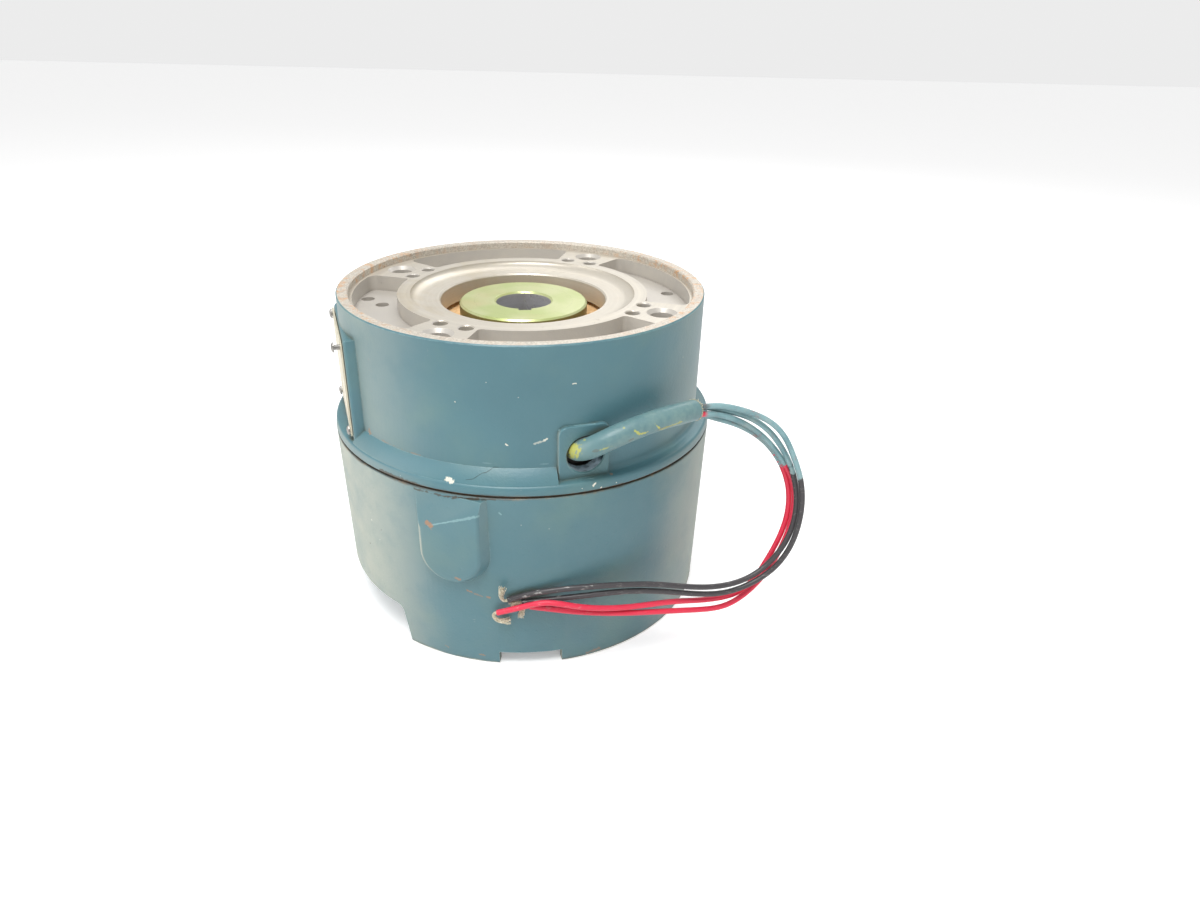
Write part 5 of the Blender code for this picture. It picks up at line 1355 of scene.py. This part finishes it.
@dataclass
class Springs:
    """Compression springs, which shorten as the magnet pulls the pressure plate back."""

    wire_radius: float = 1.1 * MM
    turns: int = 3
    steps_per_turn: int = 24
    travel: float = 1.2 * MM

    def build(self, name: str, steel: bpy.types.Material) -> bpy.types.Object:
        """Wind one spring in the place of its CAD node.

        Args:
            name: the CAD node that the spring stands for.
            steel: the wire's finish.

        Returns:
            The spring.
        """
        low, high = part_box(name)
        middle = (low + high) / 2.0
        coil_radius = (high.x - low.x) / 2.0 - self.wire_radius
        rise = high.z - low.z - 2.0 * self.wire_radius
        steps = self.turns * self.steps_per_turn
        line = []
        for step in range(steps + 1):
            turn = 2.0 * math.pi * step / self.steps_per_turn
            line.append((middle.x + coil_radius * math.cos(turn), middle.y + coil_radius * math.sin(turn),
                         low.z + self.wire_radius + rise * step / steps))
        shape = bmesh.new()
        Strands(wire_radius=self.wire_radius, sides=12).wire(shape, np.array(line), (0.0, 0.0, 1.0))
        piece = casing_piece(name + "_wound", shape, steel, "steel", name)
        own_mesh(piece)
        return piece


@dataclass
class Strands:
    """Bared lead ends: loose bundles of fine wires that fray towards their tips."""

    wires: int = 30
    wire_radius: float = 0.17 * MM
    sides: int = 5
    bundle: float = 0.85 * MM
    frayed: float = 3.0 * MM
    twist: float = 200.0 * DEG
    golden_turn: float = 137.5 * DEG
    flatness: float = 0.75
    fray_power: float = 1.5
    paths: dict[str, tuple[Point, ...]] = field(default_factory=lambda: {
        "strands_black_1": ((-4.35, -125.18, 50.56), (-7.5, -125.1, 50.0), (-11.5, -124.8, 49.0)),
        "strands_black_2": (
            (-12.53, -124.98, 52.29), (-14.1, -124.9, 51.8), (-15.6, -125.6, 54.0), (-15.8, -126.6, 58.0),
            (-15.3, -127.2, 63.5),
        ),
        "strands_red_1": (
            (0.25, -124.38, 46.65), (-1.6, -124.3, 46.7), (-3.6, -125.2, 45.2), (-4.6, -126.2, 42.5),
            (-4.8, -126.4, 39.5),
        ),
        "strands_red_2": (
            (-18.91, -125.11, 43.36), (-20.2, -124.75, 42.8), (-20.9, -124.4, 40.8), (-19.2, -124.6, 38.2),
            (-15.5, -124.9, 37.0), (-10.8, -125.0, 36.6),
        ),
    })

    def wire(self, shape: bmesh.types.BMesh, line: np.ndarray, rise: Point = (0.0, 1.0, 0.0)) -> None:
        """Add one round wire along a line, closed at both ends."""
        rings = tube(shape, line, self.wire_radius, self.sides, rise)
        shape.faces.new(rings[0])
        shape.faces.new(rings[-1])

    def build(self, name: str, metal: bpy.types.Material) -> bpy.types.Object:
        """Build one lead's bundle.

        Args:
            name: the CAD node that the bundle stands for.
            metal: the wires' finish.

        Returns:
            The bundle.
        """
        path = smooth_line([np.array(point) * MM for point in self.paths[name]], 0.8 * MM)
        _, side, up = bundle_frames(path, (0.0, 1.0, 0.0))
        shape = bmesh.new()
        chance = random.Random(name)
        last = len(path) - 1
        for number in range(self.wires):
            outward = math.sqrt((number + 0.5) / self.wires)
            begin = number * self.golden_turn
            lean = chance.uniform(0.35, 1.15)
            end = last - chance.randrange(4)
            line = []
            for index in range(end + 1):
                share = index / last
                spread = (self.frayed - self.bundle) * share**self.fray_power * lean
                reach = (self.bundle + spread) * outward
                turn = begin + self.twist * share + chance.uniform(-0.12, 0.12)
                away = math.cos(turn) * side[index] + self.flatness * math.sin(turn) * up[index]
                line.append(path[index] + reach * away)
            self.wire(shape, np.array(line))
        return casing_piece(name + "_wires", shape, metal, "strands", name)


@dataclass
class Leads:
    """Sleeve, four leads and their bared strands."""

    angle: float = 286.0 * DEG
    sleeve_radius: float = 6.25 * MM
    sleeve_bore: float = 5.55 * MM
    sleeve_sides: int = 36
    lead_radius: float = 1.75 * MM
    pitch: float = 1.93 * MM
    start: float = 82.0 * MM
    fibres: int = 64
    fibre_radius: float = 0.13 * MM
    fibre_length: tuple[float, float] = (2.6 * MM, 1.3 * MM)
    sleeve_spacing: float = 1.5 * MM
    lead_spacing: float = 2.4 * MM
    sleeve_line: tuple[Point, ...] = (
        (90.0, -3.4, 141.6), (97.0, -3.4, 141.6), (104.0, -3.4, 141.65), (110.0, -3.4, 142.5),
        (115.8, -2.6, 144.5), (121.0, 0.6, 147.4), (124.6, 6.2, 151.2), (126.0, 14.0, 154.8),
        (125.9, 22.8, 157.3), (124.5, 33.0, 159.0), (121.8, 45.0, 159.7), (117.8, 57.0, 158.9),
        (112.3, 69.4, 157.2),
    )
    routes: dict[str, tuple[tuple[int, int], tuple[Point, ...]]] = field(default_factory=lambda: {
        "lead_black_1": ((1, 1), (
            (111.1, -87.5, 159.1), (121.8, -86.0, 156.8), (135.0, -85.5, 152.3), (145.6, -86.5, 146.8),
            (154.3, -88.0, 137.9), (160.1, -90.0, 127.0), (165.3, -92.0, 114.2), (168.1, -94.5, 100.5),
            (167.9, -97.0, 85.7), (164.0, -99.5, 68.8), (154.8, -102.0, 53.9), (140.3, -105.0, 44.3),
            (122.5, -108.8, 40.4), (102.4, -113.0, 43.3), (79.4, -118.0, 49.9), (55.5, -122.6, 54.1),
            (33.2, -125.4, 54.2), (14.2, -126.0, 52.8), (-4.0, -125.2, 50.6),
        )),
        "lead_black_2": ((-1, 1), (
            (112.3, -83.5, 155.2), (123.2, -82.0, 152.0), (134.7, -81.5, 147.4), (145.1, -82.5, 140.3),
            (153.3, -84.0, 130.8), (159.7, -86.0, 120.1), (164.1, -88.2, 108.6), (166.3, -90.5, 97.0),
            (165.9, -93.2, 84.1), (161.9, -96.4, 70.7), (154.2, -99.4, 59.2), (142.2, -103.0, 49.7),
            (125.4, -107.8, 45.9), (102.0, -113.0, 48.4), (79.1, -118.0, 54.8), (55.5, -122.6, 59.1),
            (33.1, -125.4, 60.4), (12.4, -126.4, 59.2), (-0.4, -125.8, 56.5), (-12.2, -125.0, 52.4),
        )),
        "lead_red_1": ((1, -1), (
            (111.7, -87.0, 153.2), (122.9, -84.5, 149.0), (135.1, -82.5, 141.8), (146.2, -82.0, 132.3),
            (155.5, -82.6, 121.1), (162.7, -84.0, 109.1), (166.4, -86.0, 95.8), (166.0, -88.5, 81.9),
            (163.0, -91.2, 69.5), (157.8, -94.2, 57.3), (150.6, -97.2, 45.7), (140.5, -100.6, 35.2),
            (126.5, -105.0, 28.1), (107.1, -111.0, 29.3), (88.2, -116.0, 33.0), (64.9, -121.5, 37.0),
            (42.4, -125.2, 40.7), (25.5, -126.0, 43.3), (12.5, -125.2, 45.0), (0.6, -124.4, 46.6),
        )),
        "lead_red_2": ((-1, -1), (
            (113.1, -82.8, 148.6), (124.4, -80.4, 144.0), (136.5, -78.8, 137.3), (146.2, -78.6, 129.6),
            (153.7, -79.2, 120.7), (159.4, -80.4, 110.7), (163.0, -82.0, 100.0), (164.1, -84.0, 89.5),
            (163.0, -86.2, 78.7), (160.0, -88.4, 68.5), (155.7, -90.6, 58.7), (150.5, -92.6, 48.7),
            (144.3, -94.4, 38.8), (135.7, -97.4, 32.5), (122.8, -102.6, 31.8), (107.1, -108.8, 35.0),
            (87.9, -115.5, 39.7), (64.7, -121.5, 41.9), (45.2, -127.0, 45.5), (28.8, -130.0, 49.7),
            (18.7, -131.0, 52.8), (8.8, -130.8, 53.9), (-1.7, -129.6, 51.1), (-10.0, -127.6, 47.4),
            (-18.6, -125.2, 43.5),
        )),
    })

    def sleeve_points(self) -> np.ndarray:
        """The sleeve's line in the shared frame."""
        turn = np.array(wall_frame(self.angle))[:3, :3]
        return np.array([turn @ np.array((side, up, out)) * MM for out, side, up in self.sleeve_line])

    def build_sleeve(self, paint: bpy.types.Material) -> bpy.types.Object:
        """Hollow painted sleeve along its line."""
        line = smooth_line(self.sleeve_points(), self.sleeve_spacing)
        shape = bmesh.new()
        outer, inner = (tube(shape, line, radius, self.sleeve_sides, (0.0, 0.0, 1.0))
                        for radius in (self.sleeve_radius, self.sleeve_bore))
        for end in (0, -1):
            bridge(shape, outer[end], inner[end])
        return casing_piece("painted_sleeve", shape, paint, "sleeve", "cable_sleeve")

    def build_fray(self, braid: bpy.types.Material) -> bpy.types.Object:
        """Loose fibres and a ragged cut edge round the sleeve's open end."""
        line = smooth_line(self.sleeve_points(), self.sleeve_spacing)
        along, side, up = (vectors[-1] for vectors in bundle_frames(line))
        middle = (self.sleeve_radius + self.sleeve_bore) / 2.0
        shape = bmesh.new()
        chance = random.Random(7)
        fibre = Strands(wire_radius=self.fibre_radius)
        for number in range(self.fibres):
            turn = 2.0 * math.pi * (number + chance.uniform(-0.4, 0.4)) / self.fibres
            out = math.cos(turn) * side + math.sin(turn) * up
            across = math.cos(turn) * up - math.sin(turn) * side
            tall = self.fibre_length[0 if math.sin(turn) > 0.6 else 1]
            lean = chance.uniform(-0.9, 0.9)
            root = line[-1] - along * 1.1 * MM + out * (self.sleeve_radius + 0.02 * MM)
            lip = line[-1] + along * 0.12 * MM + out * middle + across * lean * 0.5 * MM
            forward = along * chance.uniform(0.1, 0.5)
            outward = out * chance.uniform(0.0, 0.45)
            tip = lip + (forward + outward + across * lean * 0.8) * tall * chance.uniform(0.3, 1.0)
            bend = line[-1] + out * (self.sleeve_radius + 0.08 * MM)
            fibre.wire(shape, np.array([root, bend, lip, (lip + tip) / 2.0, tip]))
        return casing_piece("sleeve_fray", shape, braid, "sleeve")

    def lead_line(self, name: str) -> np.ndarray:
        """A lead's whole centreline, from the coil to its end."""
        (across, rise), route = self.routes[name]
        station = self.sleeve_points()
        fine = smooth_line(station, self.sleeve_spacing)
        along, side, up = bundle_frames(fine)
        held = [int(np.argmin(np.linalg.norm(fine - point, axis=1))) for point in station[:-1]]
        held.append(len(fine) - 4)
        inside = [fine[index] + self.pitch * (across * side[index] + rise * up[index]) for index in held]
        first = inside[0] - along[0] * (self.sleeve_line[0][0] * MM - self.start)
        outside = [np.array(point) * MM for point in route]
        return smooth_line([first] + inside + outside, self.lead_spacing)

    def build_lead(self, name: str, coat: bpy.types.Material) -> bpy.types.Object:
        """One lead as a cord of its real length."""
        line = self.lead_line(name)
        curve = bpy.data.curves.new(name + "_cord", "CURVE")
        curve.dimensions = "3D"
        curve.bevel_depth = self.lead_radius
        curve.bevel_resolution = 6
        curve.use_fill_caps = True
        spline = curve.splines.new("POLY")
        spline.points.add(len(line) - 1)
        for slot, point in zip(spline.points, line):
            slot.co = (*point, 1.0)
        spline.use_smooth = True
        piece = add_object(name + "_cord", curve)
        curve.materials.append(coat)
        show_in_place(piece, Body.CASING, "red_lead" if "red" in name else "black_lead", name)
        return piece


@dataclass
class Studio:
    """Camera, floor, backdrop and lights."""

    place: Point = (0.0, -0.52136, 0.35785)
    yaw: float = 0.09966
    pitch: float = 0.47909
    roll: float = 0.02881
    focal_pixels: float = 832.0
    image_width: float = 1200.0
    ambient: float = 0.62
    backdrop: float = 0.84
    floor_lift: float = 0.30

    def camera(self) -> None:
        """Stand the camera where the photograph was taken from."""
        level = math.cos(self.pitch)
        forward = Vector((math.sin(self.yaw) * level, math.cos(self.yaw) * level, -math.sin(self.pitch)))
        right = Vector((math.cos(self.yaw), -math.sin(self.yaw), 0.0))
        up = right.cross(forward)
        turned_right = right * math.cos(self.roll) + up * math.sin(self.roll)
        turned_up = up * math.cos(self.roll) - right * math.sin(self.roll)
        data = bpy.data.cameras.new("camera")
        data.sensor_width = 36.0
        data.lens = self.focal_pixels / self.image_width * data.sensor_width
        data.clip_start = 0.01
        camera = add_object("camera", data)
        basis = Matrix((turned_right, turned_up, -forward)).transposed().to_4x4()
        camera.matrix_world = Matrix.Translation(self.place) @ basis
        bpy.context.scene.camera = camera

    def floor(self) -> None:
        """Pale floor that keeps the brake's shadow."""
        shape = bmesh.new()
        bmesh.ops.create_grid(shape, x_segments=1, y_segments=1, size=6.0)
        floor = add_object("floor", mesh_from(shape, "floor"))
        floor.location = (0.0, 0.0, -0.0002)
        material = bpy.data.materials.new("pale_floor")
        material.use_nodes = True
        shader = material.node_tree.nodes["Principled BSDF"]
        graph = Graph(material.node_tree)
        shader.inputs["Base Color"].default_value = linear(250, 250, 250)
        shader.inputs["Roughness"].default_value = 0.7
        shader.inputs["Emission Color"].default_value = (1.0, 1.0, 1.0, 1.0)
        seen = graph.add("ShaderNodeLightPath").outputs["Is Camera Ray"]
        graph.feed(graph.math("MULTIPLY", seen, self.floor_lift), shader.inputs["Emission Strength"])
        floor.data.materials.append(material)

    def world(self) -> None:
        """Even white surroundings, shown paler to the camera than they light."""
        world = bpy.data.worlds.new("studio")
        world.use_nodes = True
        graph = Graph(world.node_tree)
        seen = graph.add("ShaderNodeLightPath").outputs["Is Camera Ray"]
        background = world.node_tree.nodes["Background"]
        strength = graph.math("ADD", graph.math("MULTIPLY", seen, self.backdrop - self.ambient), self.ambient)
        graph.feed(strength, background.inputs["Strength"])
        background.inputs["Color"].default_value = (1.0, 1.0, 1.0, 1.0)
        bpy.context.scene.world = world

    def lamp(self, name: str, place: Point, size: float, power: float) -> None:
        """A soft square light aimed at the brake."""
        data = bpy.data.lights.new(name, "AREA")
        data.shape = "SQUARE"
        data.size = size
        data.energy = power
        lamp = add_object(name, data)
        lamp.location = place
        aim = Vector((0.0, 0.0, 0.1)) - Vector(place)
        lamp.rotation_euler = aim.to_track_quat("-Z", "Y").to_euler()

    def build(self) -> None:
        """Set the stage."""
        self.camera()
        self.floor()
        self.world()
        self.lamp("key", (-0.2, -0.6, 1.55), 0.7, 16.5)
        self.lamp("window", (-1.3, -0.35, 0.7), 0.8, 5.0)
        self.lamp("back", (0.4, 1.1, 1.2), 0.9, 7.0)
        view = bpy.context.scene.view_settings
        view.view_transform = "Standard"


# Marks seen in the photograph
HOUSING_MARKS = (
    Layer(WHITE_CHIP, (
        Mark((-44.2, -113.6, 128.6), 1.3, (-40.9, -115.2, 127.9)), Mark((-42.4, -114.8, 127.6), 1.1),
        Mark((4.8, -114.9, 150.2), 0.7, (9.3, -114.6, 151.5), 0.5),
        Mark((11.3, -114.4, 152.9), 0.7, (9.9, -114.5, 151.9), 0.9),
        Mark((-11.1, -114.5, 150.1), 0.55, (-10.3, -114.5, 149.3)),
        Mark((37.1, -118.0, 124.8), 0.7, (38.3, -117.4, 125.8)),
        Mark((41.9, -116.7, 122.6), 0.7), Mark((30.8, -119.9, 124.2), 0.45), Mark((50.7, -113.0, 123.5), 0.4),
        Mark((-71.5, -101.2, 124.3), 0.5), Mark((25.4, -112.0, 184.3), 0.5, (27.0, -111.8, 184.3)),
        Mark((-37.6, -108.7, 173.0), 0.35),
        Mark((-3.7, -114.9, 178.0), 0.3),
        Mark((-20.5, -113.1, 186.0), 0.3),
    ), 3.2, 620.0),
    # Painted highlights along the lead pad's edges, and a pale line along the wall above the rib.
    Layer(TEAL_WORN_AND_HIGHLIGHT, (
        Mark((18.0, -113.8, 157.6), 0.5, (27.8, -112.2, 159.6), 0.8),
        Mark((27.8, -112.2, 159.6), 0.45, (38.0, -110.4, 159.6), 0.8),
        Mark((17.4, -115.6, 150.0), 0.4, (17.4, -115.7, 137.0), 0.6),
        Mark((-24.0, -112.7, 137.6), 0.5, (12.0, -114.6, 137.4), 0.3),
    ), 2.4, 400.0),
    Layer(RUST, (
        Mark((-87.8, -75.8, 188.0), 0.8, (-88.4, -75.1, 150.0), 0.5),
        Mark((-92.2, -68.7, 136.4), 1.9, None, 0.7),
        Mark((47.8, -110.2, 126.8), 1.1, (49.0, -108.0, 131.0), 0.6),
        Mark((-60.0, -98.5, 135.6), 0.7, (-84.0, -79.0, 135.8), 0.35),
    ), 3.4, 420.0),
    Layer(CRACK, (
        Mark((-18.1, -113.6, 135.4), 0.3, (-22.0, -114.9, 133.0)),
        Mark((-22.0, -114.9, 133.0), 0.3, (-24.9, -115.2, 132.6)),
        Mark((-24.9, -115.2, 132.6), 0.3, (-29.5, -116.7, 129.9)),
        Mark((-18.1, -113.6, 135.4), 0.25, (-11.0, -114.2, 135.8)),
        Mark((-29.5, -116.7, 129.9), 0.25, (-33.6, -116.4, 129.4)),
    ), 1.6, 700.0),
    Layer(JOINT_DIRT, (
        Mark((-84.3, -90.9, 122.9), 0.9, (-76.6, -97.5, 122.7), 0.7),
        Mark((-76.6, -97.5, 122.7), 0.9, (-59.9, -108.6, 122.2), 0.6),
    ), 3.6, 380.0),
)
COVER_MARKS = (
    # Painted highlight along the boss's sloping top edge, and a short pale mark beside it.
    Layer(TEAL_WORN_AND_HIGHLIGHT, (
        Mark((-56.3, -115.7, 99.6), 0.5, (-41.3, -121.4, 105.7), 0.8),
        Mark((-41.3, -121.4, 105.7), 0.9, (-26.0, -126.2, 111.6), 0.7),
        Mark((-15.7, -122.8, 111.4), 0.5, (-14.6, -122.9, 110.2), 0.7),
    ), 2.2, 500.0),
    Layer(RUST, (
        Mark((-36.5, -117.2, 54.4), 0.7, (-33.5, -118.0, 53.4), 0.8),
        Mark((-31.9, -118.3, 52.7), 0.6, (-27.5, -119.4, 51.2), 0.5),
        Mark((-24.6, -120.0, 51.4), 0.7, (-23.1, -120.3, 51.1), 0.7),
        Mark((-57.2, -114.8, 101.2), 1.9, (-54.6, -116.6, 99.4), 0.9),
        Mark((-41.9, -121.2, 66.4), 0.9, (-39.6, -122.0, 66.1), 0.7),
        Mark((-31.2, -117.6, 5.6), 0.8, (-27.6, -118.2, 5.0), 0.9),
        Mark((-52.6, -109.5, 7.0), 0.5, (-50.6, -110.5, 6.2), 0.6),
        Mark((44.4, -113.4, 3.4), 1.0, (36.0, -116.2, 2.2), 0.5),
        Mark((-8.4, -122.7, 37.0), 0.6, (-3.0, -123.0, 38.2), 0.5),
        Mark((-52.5, -109.5, 10.0), 0.4, None, 0.6),
    ), 3.6, 460.0),
    Layer(WHITE_CHIP, (
        Mark((-3.7, -123.4, 103.4), 0.4, None, 0.6),
        Mark((12.0, -122.8, 100.0), 0.3), Mark((-95.1, -78.1, 80.7), 0.5), Mark((-90.6, -83.2, 69.3), 0.5),
    ), 3.0),
    Layer(JOINT_DIRT, (
        Mark((-63.6, -106.4, 118.6), 0.8, (-45.6, -115.2, 118.4), 0.7),
        Mark((-45.6, -115.2, 118.4), 0.9, (-27.0, -121.2, 119.2), 0.8),
        Mark((-27.0, -121.2, 119.2), 0.6, (-17.9, -122.6, 119.8), 0.6), Mark((-101.0, -70.3, 86.0), 0.35),
        Mark((-99.0, -72.5, 60.0), 0.45), Mark((-97.0, -75.0, 84.0), 0.35), Mark((-88.6, -85.4, 78.0), 0.35),
    ), 4.2, 360.0),
)
SLEEVE_MARKS = (
    Layer(YELLOW_JACKET, (
        Mark((24.0, -115.8, 145.4), 5.2, (25.6, -117.0, 148.0), 0.9),
        Mark((27.6, -117.8, 152.4), 1.6, (30.6, -117.6, 154.4), 0.6),
        Mark((52.6, -119.6, 162.4), 0.5, (53.4, -119.4, 159.6), 0.5),
        Mark((59.0, -119.8, 159.6), 0.7, (61.4, -119.6, 157.6), 0.85),
        Mark((61.4, -119.4, 157.2), 0.7, (66.4, -117.7, 157.4), 0.9),
        Mark((70.5, -115.0, 161.2), 0.6, (73.4, -113.6, 158.0), 1.0),
        Mark((74.0, -112.4, 156.6), 0.9, (88.0, -104.6, 157.4), 0.7),
        Mark((40.0, -124.0, 150.6), 0.7, (46.0, -123.4, 152.6), 0.6),
    ), 4.6, 380.0),
    Layer(SLEEVE_CUT, (
        Mark((46.6, -123.0, 160.0), 0.4, (48.4, -121.0, 163.6), 0.4),
        Mark((95.4, -88.6, 161.5), 1.6, None, 0.8),
    ), 3.6, 520.0),
    Layer(DIRT_AND_SHADE, (
        Mark((36.0, -124.0, 149.4), 0.8, (58.0, -120.4, 155.0), 0.4),
        Mark((72.0, -114.0, 156.8), 1.2, (86.0, -106.0, 156.4), 0.3),
    ), 3.6, 260.0),
)


def dress_nodes() -> None:
    """Wind the springs, and dress the small and inner nodes in their finishes."""
    steel = Plain("plain_steel", linear(150, 148, 144), linear(176, 172, 166), roughness=0.35,
                  metallic=0.9).build()
    iron = Plain("pot_iron", linear(88, 86, 84), linear(112, 108, 104), roughness=0.45, metallic=0.8).build()
    lining = Plain("moulded_lining", linear(240, 200, 148), linear(216, 172, 120), roughness=0.8,
                   scale=300.0, depth=0.1 * MM).build()
    gasket = Plain("fibre_gasket", linear(66, 52, 40), linear(90, 66, 44), roughness=0.9, scale=200.0).build()
    varnish = Plain("coil_varnish", linear(110, 52, 28), linear(140, 74, 40), roughness=0.35,
                    scale=200.0).build()
    cream = Plain("cream_plate", linear(222, 214, 190), linear(204, 196, 172), roughness=0.4, metallic=0.2,
                  scale=60.0).build()
    finishes = {
        "cover_screw": steel, "drive_screw": steel, "guide_stud": steel, "stud_nut": steel,
        "stationary_disc": steel, "pressure_plate": steel, "magnet_body": iron, "friction_disc": lining,
        "flange_gasket": gasket, "coil": varnish, "nameplate": cream,
    }
    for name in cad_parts:
        if name.startswith("spring_"):
            Springs().build(name, steel)
        for start, finish in finishes.items():
            if name.startswith(start):
                dress_node(name, finish)


def main() -> None:
    """Build the stage and every piece."""
    logging.basicConfig(level=logging.INFO, format="%(name)s: %(message)s")
    Studio().build()
    leads = Leads()
    strands = Strands()
    copper = Plain("tinned_strands", linear(232, 226, 206), linear(190, 178, 148), roughness=0.4,
                   metallic=0.25, scale=1400.0).build()
    coats = {
        "black": LeadCoat("black_insulation", linear(70, 67, 69), scuff=0.8).build(),
        "red": LeadCoat("red_insulation", linear(230, 52, 80), scuff=0.25).build(),
    }
    sleeve_paint = Paint("sleeve_paint", dust=0.35, grain=0.5, lumps=0.2, pits=0.0, fade=0.75,
                         layers=SLEEVE_MARKS).build()
    sleeve = leads.build_sleeve(sleeve_paint)
    braid = Plain("cotton_braid", SLEEVE_CUT, linear(186, 180, 150), roughness=0.7, scale=900.0).build()
    fray = leads.build_fray(braid)
    for name in leads.routes:
        bundle = strands.build(name.replace("lead", "strands"), copper)
        leads.build_lead(name, coats[name.split("_")[1]])
    cast = BareCast().build()
    cover_enamel = Paint("cover_enamel", dust=1.0, grain=0.5, lumps=1.0, pits=0.35, joint=120.6 * MM,
                         bare_foot=True, layers=COVER_MARKS).build()
    Cover().build(cover_enamel, cast)
    Housing().build((
        Paint("housing_enamel", dust=0.42, grain=0.35, lumps=0.7, pits=0.1, joint=121.5 * MM,
              layers=HOUSING_MARKS).build(),
        Machined().build(), cast, RustyRim().build(), HoleWall().build(),
    ))
    bored = Machined("bored_steel", linear(214, 214, 218), roughness=0.3, metallic=0.6, stained=0.2).build()
    Hub().build(ZincPlate().build(), bored)
    dress_nodes()


if __name__ == "__main__":
    main()
